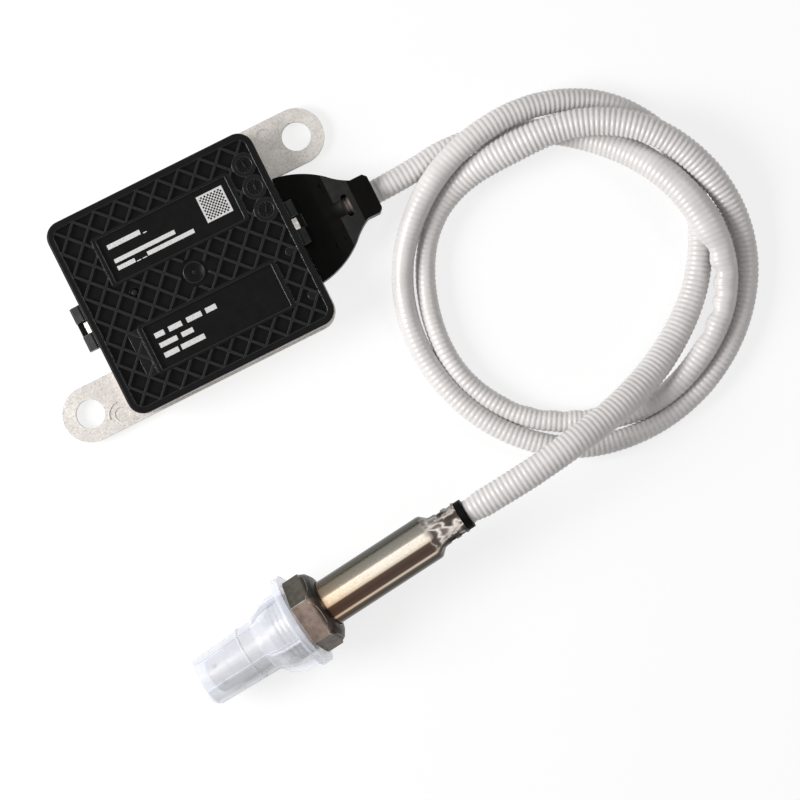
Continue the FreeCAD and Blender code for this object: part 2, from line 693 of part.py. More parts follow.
def flat_chip(size, height, at, lead_count):
    """A chip with leads along its four sides."""
    x, y = at
    half = size / 2
    body = box(x - half, x + half, y - half, y + half, BOARD_TOP, BOARD_TOP + height)
    pieces = [body]
    pitch = size / (lead_count + 1)
    for i in range(lead_count):
        offset = (i - (lead_count - 1) / 2) * pitch
        for turn in range(4):
            lead = box(half - 0.2, half + CHIP_LEAD_OUT, offset - CHIP_LEAD_W / 2, offset + CHIP_LEAD_W / 2,
                       BOARD_TOP, BOARD_TOP + CHIP_LEAD_H)
            lead.rotate(V(0, 0, 0), V(0, 0, 1), 90 * turn)
            lead.translate(V(x, y, 0))
            pieces.append(lead)
    return fused(pieces)


def microcontroller():
    """The processor on the board."""
    return flat_chip(CHIP_SIZE, CHIP_H, CHIP_AT, CHIP_LEAD_COUNT)


def signal_chip():
    """The chip that drives and reads the sensing element."""
    return flat_chip(SIGNAL_SIZE, SIGNAL_H, SIGNAL_AT, SIGNAL_LEAD_COUNT)


def power_transistors():
    """The transistors that switch the element's heater."""
    parts = []
    for x, y in TRANSISTORS:
        hx, hy = TRANSISTOR_X / 2, TRANSISTOR_Y / 2
        body = box(x - hx, x + hx, y - hy, y + hy, BOARD_TOP, BOARD_TOP + TRANSISTOR_H)
        tab = box(x + hx, x + hx + 1.2, y - hy + 0.5, y + hy - 0.5, BOARD_TOP, BOARD_TOP + 0.5)
        parts.append(body.fuse(tab).removeSplitter())
    return group(parts)


def capacitors():
    """Three can capacitors."""
    cans = []
    for x, y in CAPACITORS:
        cans.append(post(CAPACITOR_R, BOARD_TOP, BOARD_TOP + CAPACITOR_H, x, y))
    return group(cans)


def lead_path(i):
    """The way of one lead from its terminal to the hose."""
    y = lead_ys()[i]
    bundle_y = GUIDE_Y + (i - (LEAD_COUNT - 1) / 2) * LEAD_BUNDLE_Y
    bundle_z = HOSE_Z - LEAD_BUNDLE_DROP + (LEAD_BUNDLE_Z if i % 2 else -LEAD_BUNDLE_Z)
    start = BOARD_X / 2
    fan_start = GUIDE_X0 + 3
    fan_end = HOSE_START_X - 3.5
    return [V(start, y, LEAD_Z), V(fan_start, y, LEAD_Z), V(fan_end, bundle_y, bundle_z),
            V(HOSE_START_X, bundle_y, bundle_z)]


def sensor_leads():
    """The wires that fan out from the hose to the board."""
    return group([tube(lead_path(i), LEAD_D / 2) for i in range(LEAD_COUNT)])


def wire_seal():
    """The rubber block that seals the wires in the base's wall."""
    half = seal_half()
    z0, z1 = LEAD_Z - SEAL_H / 2, LEAD_Z + SEAL_H / 2
    block = box(INNER_X / 2, WALL_X / 2, GUIDE_Y - half, GUIDE_Y + half, z0, z1)
    lip = box(INNER_X / 2 - SEAL_LIP, INNER_X / 2, GUIDE_Y - half, GUIDE_Y + half, z0, z1)
    block = block.fuse(lip).removeSplitter()
    for y in lead_ys():
        block = block.cut(on_axis(LEAD_D / 2, INNER_X / 2 - 5, WALL_X / 2 + 5, y, LEAD_Z))
    return block


def lead_terminals():
    """The crimped terminals that carry the wires on the board."""
    terminals = []
    x0, x1 = BOARD_X / 2 - TERMINAL_L, BOARD_X / 2
    for y in lead_ys():
        foot = box(x0, x1, y - TERMINAL_W / 2, y + TERMINAL_W / 2, BOARD_TOP, LEAD_Z + LEAD_D / 2)
        terminals.append(foot)
    return group(terminals)


def guide_outline(inset):
    """The fan's outline in plan: a convex flank that runs into a hollow one, then the neck."""
    root, neck = GUIDE_ROOT_HALF - inset, GUIDE_NECK_HALF - inset
    x = GUIDE_X0
    fall = GUIDE_ROOT_HALF - GUIDE_NECK_HALF
    upper = [(x, root), (x + GUIDE_FLANK_AT, root - fall * 0.22), (x + GUIDE_BEND_AT, root - fall * 0.60),
             (x + GUIDE_HOLLOW_AT, root - fall * 0.81), (x + GUIDE_NECK_AT, neck)]
    end = [(GUIDE_X1 - GUIDE_END_BEVEL, neck), (GUIDE_X1, neck - GUIDE_END_BEVEL)]
    return upper, end


def guide_face(inset):
    """The outline's face at z = 0."""
    upper, end = guide_outline(inset)
    ups = [V(x, GUIDE_Y + h, 0) for x, h in upper + end]
    downs = [V(x, GUIDE_Y - h, 0) for x, h in upper + end]
    edges = [Part.Arc(ups[0], ups[1], ups[2]).toShape(), Part.Arc(ups[2], ups[3], ups[4]).toShape(),
             Part.LineSegment(ups[4], ups[5]).toShape(), Part.LineSegment(ups[5], ups[6]).toShape(),
             Part.LineSegment(ups[6], downs[6]).toShape(), Part.LineSegment(downs[6], downs[5]).toShape(),
             Part.LineSegment(downs[5], downs[4]).toShape(), Part.Arc(downs[4], downs[3], downs[2]).toShape(),
             Part.Arc(downs[2], downs[1], downs[0]).toShape(), Part.LineSegment(downs[0], ups[0]).toShape()]
    return Part.Face(Part.Wire(edges))


def guide_block(inset, z0, drop, x_end):
    """The fan between a floor and a roof that climbs to the neck."""
    body = guide_face(inset).extrude(V(0, 0, GUIDE_NECK_TOP + 1))
    x = GUIDE_X0
    neck_top, root_top = GUIDE_NECK_TOP - drop, GUIDE_ROOT_TOP - drop
    roof = [(x, z0), (GUIDE_X1, z0), (GUIDE_X1, neck_top), (x + GUIDE_ROOF_HIGH, neck_top),
            (x + GUIDE_ROOF_MID, root_top + GUIDE_ROOF_RISE), (x + GUIDE_ROOF_LOW, root_top), (x, root_top)]
    body = body.common(prism_along_y(roof, GUIDE_Y - GUIDE_ROOT_HALF, GUIDE_Y + GUIDE_ROOT_HALF))
    return body.common(box(x - 1, x_end, -TRAY_Y, TRAY_Y, z0, GUIDE_NECK_TOP + 1))


def guide_cavity_end():
    """Where the guide's hollow stops and its neck begins."""
    return HOSE_START_X - 0.5


def harness_guide():
    """The black shell over the wires, with the slot in its roof."""
    shell = guide_block(0, GUIDE_BOTTOM, 0, GUIDE_X1)
    shell = shell.cut(guide_block(GUIDE_WALL, 0, GUIDE_WALL, guide_cavity_end()))
    shell = shell.cut(on_axis(HOSE_D / 2 + GUIDE_FIT, guide_cavity_end() - 1, GUIDE_X1 + 1, GUIDE_Y, HOSE_Z))
    slot = rounded_slab(GUIDE_SLOT_W, GUIDE_SLOT_L, GUIDE_SLOT_W / 2 - 0.01, HOSE_Z, GUIDE_NECK_TOP + 1,
                        (GUIDE_X1 - GUIDE_SLOT_BACK, GUIDE_Y))
    return shell.cut(slot)


def guide_plate():
    """The plate that closes the guide from below."""
    plate = guide_block(GUIDE_WALL + GUIDE_FIT, GUIDE_BOTTOM, 0, guide_cavity_end() - GUIDE_FIT)
    return plate.common(box(GUIDE_X0 + GUIDE_FIT, GUIDE_X1, -TRAY_Y, TRAY_Y, 0, GUIDE_BOTTOM + GUIDE_WALL))


def hose_points():
    """The whole route: from inside the guide's neck to the probe's tail."""
    tail = probe_point(GROMMET_TAIL)
    before = probe_point(GROMMET_TAIL - HOSE_LAST_RUN)
    return [V(HOSE_START_X, GUIDE_Y, HOSE_Z)] + [V(*p) for p in HOSE_ROUTE] + [before, tail]


def corrugated_hose():
    """The plain solid of the hose along its route."""
    return tube(hose_points(), HOSE_D / 2, "hose")


def hexagon(across_flats, u0, u1, turn):
    """A hexagonal bar along X with one corner turned from the top."""
    radius = across_flats / math.sqrt(3)
    points = []
    for k in range(6):
        a = math.radians(60 * k + turn)
        points.append(V(u0, -radius * math.sin(a), radius * math.cos(a)))
    face = Part.Face(Part.makePolygon(points + points[:1]))
    return face.extrude(V(u1 - u0, 0, 0))


def union_nut():
    """The nut that turns freely on the probe and screws into the exhaust boss."""
    corner = HEX_AF / math.sqrt(3)
    bar = hexagon(HEX_AF, -HEX_L, 0, HEX_TURN)
    shoulder_r = HEX_CHAMFER_R - HEX_SHOULDER_DROP
    back_r = HEX_CHAMFER_R - HEX_BACK_DROP
    past_r = corner + HEX_CHAMFER_L
    dome = turned([(-HEX_L, 0), (-HEX_L, NUT_POCKET_R + HEX_COLLAR_T), (-HEX_BACK_L, back_r),
                   (-HEX_SHOULDER_L, shoulder_r), (-HEX_FLAT_L, HEX_CHAMFER_R),
                   (-HEX_FLAT_L + HEX_CHAMFER_L, past_r), (-HEX_CHAMFER_L, past_r), (0, HEX_CHAMFER_R), (0, 0)])
    head = bar.common(dome)
    thread = turned([(0, 0), (0, NUT_RELIEF_R), (NUT_RELIEF_L, NUT_RELIEF_R),
                     (NUT_RELIEF_L + 0.8, NUT_THREAD_R), (NUT_THREAD_L - 1.0, NUT_THREAD_R),
                     (NUT_THREAD_L, NUT_THREAD_R - 1.0), (NUT_THREAD_L, 0)])
    solid = head.fuse(thread).removeSplitter()
    solid = solid.cut(on_axis(BARREL_R + NUT_RUNNING, -HEX_L - 1, NUT_THREAD_L + 1))
    return solid.cut(on_axis(NUT_POCKET_R, -HEX_L - 1, -HEX_L + NUT_POCKET_L))


def crimp_cutter(station):
    """The ring that crimping jaws press away, leaving a flat-sided band."""
    u0, u1 = station - CRIMP_ROW_L / 2, station + CRIMP_ROW_L / 2
    ring = on_axis(CRIMP_R + 1, u0, u1)
    flat = CRIMP_R - CRIMP_DEPTH
    radius = flat / math.cos(math.pi / CRIMP_SIDES)
    points = []
    for k in range(CRIMP_SIDES):
        a = 2 * math.pi * (k + 0.5) / CRIMP_SIDES
        points.append(V(u0 - 1, radius * math.cos(a), radius * math.sin(a)))
    jaw = Part.Face(Part.makePolygon(points + points[:1])).extrude(V(CRIMP_ROW_L + 2, 0, 0))
    return ring.cut(jaw)


def crimp_sleeve():
    """The stainless sleeve, shouldered down and crimped onto the grommet."""
    front = SLEEVE_FRONT
    inner = BARREL_R - SLEEVE_T
    profile = [(front, inner), (front, SLEEVE_BEAD_R - 0.3), (front - 0.3, SLEEVE_BEAD_R),
               (front - SLEEVE_BEAD_L, SLEEVE_BEAD_R), (front - SLEEVE_BEAD_L, BARREL_R),
               (SLEEVE_SHOULDER, BARREL_R), (SLEEVE_SHOULDER - 0.8, BARREL_R - 0.15),
               (SLEEVE_SHOULDER_END + 0.9, CRIMP_R + 0.2), (SLEEVE_SHOULDER_END, CRIMP_R),
               (CRIMP_END + 0.3, CRIMP_R), (CRIMP_END, CRIMP_R - 0.25), (CRIMP_END, sleeve_bore()),
               (SLEEVE_SHOULDER_END, sleeve_bore()), (SLEEVE_SHOULDER, inner)]
    solid = turned(profile)
    for station in CRIMP_ROWS:
        solid = solid.cut(crimp_cutter(station))
    return solid


def sleeve_bore():
    """The sleeve's bore under the crimp."""
    return CRIMP_R - CRIMP_DEPTH - SLEEVE_T * 0.7


def probe_lead_places():
    """Where the six leads pass through the grommet, as (y, z)."""
    places = []
    for i in range(LEAD_COUNT):
        a = 2 * math.pi * i / LEAD_COUNT
        places.append((PROBE_LEAD_RING * math.cos(a), PROBE_LEAD_RING * math.sin(a)))
    return places


def probe_grommet():
    """The rubber grommet with the ring that shows behind the crimp."""
    body = on_axis(sleeve_bore(), CRIMP_END, SLEEVE_SHOULDER_END).fuse(
        on_axis(GROMMET_R, GROMMET_TAIL, CRIMP_END)).removeSplitter()
    for y, z in probe_lead_places():
        body = body.cut(on_axis(PROBE_LEAD_D / 2, GROMMET_TAIL - 1, SLEEVE_SHOULDER_END + 1, y, z))
    return body


def probe_leads():
    """The wires from the contacts to the hose."""
    front = HOLDER_BACK
    return group([on_axis(PROBE_LEAD_D / 2, GROMMET_TAIL, front, y, z) for y, z in probe_lead_places()])


def sensor_housing():
    """The turned steel body that the nut pulls onto its seat."""
    bore = HOUSING_BORE_R
    back = SLEEVE_FRONT
    front_of_flange = FLANGE_BACK + HOUSING_FLANGE_L
    profile = [(back, bore), (back, BARREL_R), (FLANGE_BACK, BARREL_R), (FLANGE_BACK, HOUSING_FLANGE_R),
               (front_of_flange - 0.6, HOUSING_FLANGE_R),
               (front_of_flange + HOUSING_FLANGE_R - HOUSING_NOSE_R - 0.6, HOUSING_NOSE_R),
               (HOUSING_FRONT, HOUSING_NOSE_R), (HOUSING_FRONT, HOUSING_NOSE_R - SHIELD_T),
               (HOUSING_FRONT - 2, HOUSING_NOSE_R - SHIELD_T), (HOUSING_FRONT - 2, ELEMENT_W * 0.62),
               (CERAMIC_FRONT, ELEMENT_W * 0.62), (CERAMIC_FRONT, bore)]
    return turned(profile)


def element_hole(u0, u1):
    """The slot that the sensing element passes through."""
    return box(u0, u1, -ELEMENT_W / 2, ELEMENT_W / 2, -ELEMENT_T / 2, ELEMENT_T / 2)


def rear_ceramic():
    """The ceramic that closes the powder from behind."""
    block = on_axis(HOUSING_BORE_R, CERAMIC_BACK, POWDER_BACK)
    return block.cut(element_hole(CERAMIC_BACK - 1, POWDER_BACK + 1))


def powder_packing():
    """The pressed powder that seals the element."""
    block = on_axis(HOUSING_BORE_R, POWDER_BACK, POWDER_FRONT)
    return block.cut(element_hole(POWDER_BACK - 1, POWDER_FRONT + 1))


def front_ceramic():
    """The ceramic in front of the powder."""
    block = on_axis(HOUSING_BORE_R, POWDER_FRONT, CERAMIC_FRONT)
    return block.cut(element_hole(POWDER_FRONT - 1, CERAMIC_FRONT + 1))


def sensing_element():
    """The flat ceramic strip that measures the gas."""
    return box(ELEMENT_BACK, ELEMENT_FRONT, -ELEMENT_W / 2, ELEMENT_W / 2, -ELEMENT_T / 2, ELEMENT_T / 2)


def contact_place(i):
    """The y of a contact and its side, over or under the element."""
    column = i % 3 - 1
    return column * CONTACT_PITCH, 1 if i < 3 else -1


def contact_bar(i):
    """One contact strip on the element's face."""
    y, side = contact_place(i)
    z0, z1 = sorted((side * ELEMENT_T / 2, side * (ELEMENT_T / 2 + CONTACT_T)))
    half = CONTACT_W / 2
    return box(HOLDER_FRONT - CONTACT_L, HOLDER_FRONT - 1, y - half, y + half, z0, z1)


def contact_springs():
    """Six strips that press on the element's pads."""
    return group([contact_bar(i) for i in range(LEAD_COUNT)])


def contact_holder():
    """The ceramic block that guides the contacts onto the element."""
    block = on_axis(HOLDER_R, HOLDER_BACK, HOLDER_FRONT)
    block = block.cut(element_hole(ELEMENT_BACK, HOLDER_FRONT + 1))
    for i in range(LEAD_COUNT):
        block = block.cut(contact_bar(i))
    return block


def outer_shield():
    """The outer protection tube, grooved and stepped, with gas holes near its tip."""
    rear_r = HOUSING_NOSE_R
    t = SHIELD_T
    profile = [(HOUSING_FRONT, rear_r - t), (HOUSING_FRONT, rear_r), (SHIELD_STEP - 0.8, rear_r),
               (SHIELD_STEP, SHIELD_TIP_R + 0.2), (SHIELD_STEP + 0.4, SHIELD_TIP_R),
               (SHIELD_TIP - 0.8, SHIELD_TIP_R), (SHIELD_TIP, SHIELD_TIP_R - 0.8), (SHIELD_TIP, 0),
               (SHIELD_TIP - t, 0), (SHIELD_TIP - t, SHIELD_TIP_R - t - 0.5),
               (SHIELD_TIP - t - 0.6, SHIELD_TIP_R - t), (SHIELD_STEP - 0.1, SHIELD_TIP_R - t),
               (SHIELD_STEP - 1.0, rear_r - t)]
    solid = turned(profile)
    for station in SHIELD_GROOVES:
        ring = on_axis(rear_r + 1, station - SHIELD_GROOVE_W / 2, station + SHIELD_GROOVE_W / 2)
        solid = solid.cut(ring.cut(on_axis(rear_r - SHIELD_GROOVE_DEPTH, station - 1, station + 1)))
    return drilled(solid, SHIELD_HOLE_AT, SHIELD_TIP_R)


def drilled(shell, station, radius):
    """Gas holes round a shield."""
    for k in range(SHIELD_HOLES):
        a = 2 * math.pi * k / SHIELD_HOLES
        hole = Part.makeCylinder(SHIELD_HOLE_R, radius + 1, V(station, 0, 0), V(0, math.cos(a), math.sin(a)))
        shell = shell.cut(hole)
    return shell


def inner_shield():
    """The inner tube round the element's tip, seated in the housing's front."""
    r, t = INNER_SHIELD_R, SHIELD_T
    seat = HOUSING_FRONT - INNER_SHIELD_SEAT
    flange = HOUSING_NOSE_R - SHIELD_T
    profile = [(seat, r - t), (seat, flange), (seat + t, flange), (seat + t, r), (INNER_SHIELD_TIP, r),
               (INNER_SHIELD_TIP, 0), (INNER_SHIELD_TIP - t, 0), (INNER_SHIELD_TIP - t, r - t)]
    return drilled(turned(profile), SHIELD_STEP - 2, r)


def cap_shell():
    """The cap's hollow body without its ribs."""
    t = CAP_WALL
    profile = [(0, CAP_MOUTH_R), (0, CAP_FLANGE_R), (CAP_FLANGE_T, CAP_FLANGE_R), (CAP_FLANGE_T, CAP_BODY_R),
               (CAP_SHOULDER, CAP_SHOULDER_R), (CAP_BAND, CAP_BAND_R), (CAP_RING, CAP_RING_R),
               (CAP_RING + 0.4, CAP_NECK_R), (CAP_END - 0.8, CAP_END_R), (CAP_END, CAP_END_R - 0.8),
               (CAP_END, 0), (CAP_END - t, 0), (CAP_END - t, HOUSING_NOSE_R + CAP_NOSE_GAP),
               (CAP_RING + CAP_BORE_STEP, CAP_NECK_R - t), (CAP_SHOULDER - CAP_BORE_STEP, CAP_MOUTH_R)]
    return turned(profile)


def cap_gusset(angle):
    """A web between the cap's flange and its body."""
    profile = [(CAP_FLANGE_T - 0.2, CAP_MOUTH_R + 0.4), (CAP_FLANGE_T - 0.2, CAP_GUSSET_R),
               (CAP_GUSSET_FLAT, CAP_GUSSET_R - CAP_GUSSET_DROP), (CAP_GUSSET_MID, CAP_GUSSET_MID_R),
               (CAP_RING, CAP_RING_R - 0.1), (CAP_BAND, CAP_BAND_R - 0.4),
               (CAP_SHOULDER, CAP_SHOULDER_R - 0.2)]
    web = prism_along_y(profile, -CAP_RIB_T / 2, CAP_RIB_T / 2)
    web.rotate(V(0, 0, 0), V(1, 0, 0), angle)
    return web


def cap_rib(angle):
    """A fine rib along the cap's neck."""
    profile = [(CAP_RING, CAP_NECK_R - 0.3), (CAP_RING, CAP_NECK_R + CAP_RIB_H),
               (CAP_END - 1.2, CAP_END_R + CAP_RIB_H), (CAP_END - 1.2, CAP_END_R - 0.3)]
    rib = prism_along_y(profile, -CAP_RIB_T / 2, CAP_RIB_T / 2)
    rib.rotate(V(0, 0, 0), V(1, 0, 0), angle)
    return rib


def protective_cap():
    """The translucent cap pushed over the thread."""
    pieces = [cap_shell()]
    for k in range(CAP_RIBS):
        angle = CAP_RIB_FIRST + 360 * k / CAP_RIBS
        pieces.append(cap_gusset(angle))
        pieces.append(cap_rib(angle))
    half = CAP_BEAD_W / 2
    bead_r = CAP_NECK_R + CAP_BEAD_OUT
    pieces.append(turned([(CAP_BEAD - half, CAP_NECK_R - CAP_WALL / 2), (CAP_BEAD - half, bead_r),
                          (CAP_BEAD + half, bead_r), (CAP_BEAD + half, CAP_NECK_R - CAP_WALL / 2)]))
    return fused(pieces)


MODULE_NODES = [base_housing, cover, cover_gasket, circuit_board, microcontroller, signal_chip,
                power_transistors, capacitors, board_screws, vehicle_connector, connector_pins,
                wire_seal, lead_terminals, sensor_leads, harness_guide, guide_plate, corrugated_hose]
PROBE_NODES = [crimp_sleeve, probe_grommet, probe_leads, contact_holder, contact_springs,
               sensing_element, rear_ceramic, powder_packing, front_ceramic, sensor_housing,
               inner_shield, outer_shield, union_nut, protective_cap]


def main():
    """Build every piece and write it under its own name."""
    os.makedirs("parts", exist_ok=True)
    for build in MODULE_NODES:
        build().exportStep("parts/" + build.__name__ + ".step")
    for build in PROBE_NODES:
        placed_on_probe(build()).exportStep("parts/" + build.__name__ + ".step")


main()
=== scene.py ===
"""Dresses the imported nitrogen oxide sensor: hose, print, small marks, thread, finishes and studio."""

import math

import bpy
from bpy.props import FloatProperty, FloatVectorProperty, IntProperty, PointerProperty
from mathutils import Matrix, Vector, noise


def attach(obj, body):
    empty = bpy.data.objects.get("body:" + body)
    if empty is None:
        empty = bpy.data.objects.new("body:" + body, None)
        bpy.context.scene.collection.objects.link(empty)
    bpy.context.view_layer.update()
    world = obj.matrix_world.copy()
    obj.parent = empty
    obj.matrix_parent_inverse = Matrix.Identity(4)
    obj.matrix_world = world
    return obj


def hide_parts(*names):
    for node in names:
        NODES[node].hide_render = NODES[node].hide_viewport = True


bl_info = {
    "name": "Nitrogen Oxide Sensor",
    "version": (1, 0, 0),
    "blender": (4, 5, 0),
    "location": "3D View > Sidebar > Sensor",
    "description": "Builds the visible pieces, finishes and studio of a nitrogen oxide sensor",
    "category": "Object",
}

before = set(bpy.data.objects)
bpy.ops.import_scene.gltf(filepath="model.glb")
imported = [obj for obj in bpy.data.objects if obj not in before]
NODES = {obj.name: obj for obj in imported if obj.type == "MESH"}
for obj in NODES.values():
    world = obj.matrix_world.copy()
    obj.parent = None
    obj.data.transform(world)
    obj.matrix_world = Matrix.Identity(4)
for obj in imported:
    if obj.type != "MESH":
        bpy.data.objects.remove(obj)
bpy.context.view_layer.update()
MM = 0.001

# Where the probe lies: the hexagon's front face is station zero, plus towards the tip, tip down
PROBE_AT = Vector((-15.7, -109.1, 15.279933)) * MM
PROBE_TURN = math.radians(186.8)
PROBE_TILT = math.radians(7.0)
ALONG = Vector((math.cos(PROBE_TURN) * math.cos(PROBE_TILT),
                math.sin(PROBE_TURN) * math.cos(PROBE_TILT), -math.sin(PROBE_TILT)))
ASIDE = Vector((-math.sin(PROBE_TURN), math.cos(PROBE_TURN), 0))
UPRIGHT = ALONG.cross(ASIDE)

# The hose's route in metres, from inside the guide to inside the probe's crimp sleeve
HOSE_ROUTE = [
    (0.0491, -0.0024, 0.0065), (0.0693, -0.0024, 0.0065), (0.0897, 0.0004, 0.0042),
    (0.1127, -0.0058, 0.0038), (0.1315, -0.0189, 0.0055), (0.1441, -0.0372, 0.0115),
    (0.1487, -0.0583, 0.0125), (0.1453, -0.0771, 0.0090), (0.1304, -0.0915, 0.0080),
    (0.1090, -0.0996, 0.0060), (0.0868, -0.0942, 0.0038), (0.0687, -0.0829, 0.0038),
    (0.0584, -0.0637, 0.0038), (0.0593, -0.0418, 0.0038), (0.0685, -0.0218, 0.0040),
    (0.0841, -0.0106, 0.0070), (0.1040, -0.0088, 0.0125), (0.1261, -0.0100, 0.0130),
    (0.1454, -0.0219, 0.0140), (0.1562, -0.0432, 0.0115), (0.1575, -0.0658, 0.0045),
    (0.1471, -0.0859, 0.0038), (0.1280, -0.1002, 0.0038), (0.1048, -0.1057, 0.0038),
    (0.0816, -0.1013, 0.0038), (0.0643, -0.0870, 0.0038), (0.0539, -0.0676, 0.0038),
    (0.0514, -0.0454, 0.0040), (0.0587, -0.0240, 0.0070), (0.0761, -0.0074, 0.0120),
    (0.0971, 0.0002, 0.0128), (0.1190, 0.0002, 0.0090), (0.1390, -0.0093, 0.0038),
    (0.1508, -0.0293, 0.0038), (0.1488, -0.0518, 0.0038), (0.1374, -0.0725, 0.0038),
    (0.1187, -0.0868, 0.0085), (0.0985, -0.0945, 0.0180), (0.0780, -0.0982, 0.0244),
    (0.0605, -0.1007, 0.0247), (0.0426, -0.1021, 0.0225)]
HOSE_EXIT = (0.0611, -0.0024, 0.0065)

# The cover's outer face and the floors sunk in it, in millimetres
COVER_TOP = 17.0
LABEL_FLOOR = COVER_TOP - 1.2
CLOCK_FLOOR = COVER_TOP - 0.95


def probe_point(u, radius=0.0, turn=0.0):
    """A point at station u along the probe, radius from its axis, turn from upright."""
    out = ASIDE * math.sin(turn) + UPRIGHT * math.cos(turn)
    return PROBE_AT + (ALONG * u + out * radius) * MM


def mesh_piece(name, points, faces, material, body, smooth=True):
    """A mesh object from points in metres and faces, with its finish, riding on its body."""
    mesh = bpy.data.meshes.new(name)
    mesh.from_pydata([tuple(p) for p in points], [], faces)
    mesh.update()
    if smooth:
        mesh.polygons.foreach_set("use_smooth", [True] * len(mesh.polygons))
    piece = bpy.data.objects.new(name, mesh)
    bpy.context.scene.collection.objects.link(piece)
    piece.data.materials.append(material)
    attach(piece, body)
    return piece


def ring_faces(rings, around):
    """Quads between rings of points, each ring with the same count."""
    faces = []
    for i in range(rings - 1):
        j = i + 1
        for k in range(around):
            n = (k + 1) % around
            faces.append((i * around + k, i * around + n, j * around + n, j * around + k))
    return faces


def plate(centre, size, base, height, turn=0.0):
    """Points and faces of a small block on the cover, in millimetres, turned about its middle."""
    x, y = centre
    hx, hy = size[0] / 2, size[1] / 2
    c, s = math.cos(turn), math.sin(turn)
    points = []
    for z in (base, base + height):
        for a, b in ((-hx, -hy), (hx, -hy), (hx, hy), (-hx, hy)):
            points.append(Vector((x + a * c - b * s, y + a * s + b * c, z)) * MM)
    faces = [(4, 5, 6, 7), (0, 1, 5, 4), (1, 2, 6, 5), (2, 3, 7, 6), (3, 0, 4, 7)]
    return points, faces


def joined(parts):
    """One list of points and faces from several."""
    points, faces = [], []
    for more_points, more_faces in parts:
        base = len(points)
        points += more_points
        faces += [tuple(base + i for i in face) for face in more_faces]
    return points, faces


# Rays that a softened edge and an edge's mask take, and the mask by likeness of the two normals
SOFT_SAMPLES = 6
EDGE_SAMPLES = 8
EDGE_LIKENESS = ((0.80, 1.0), (0.975, 0.0))


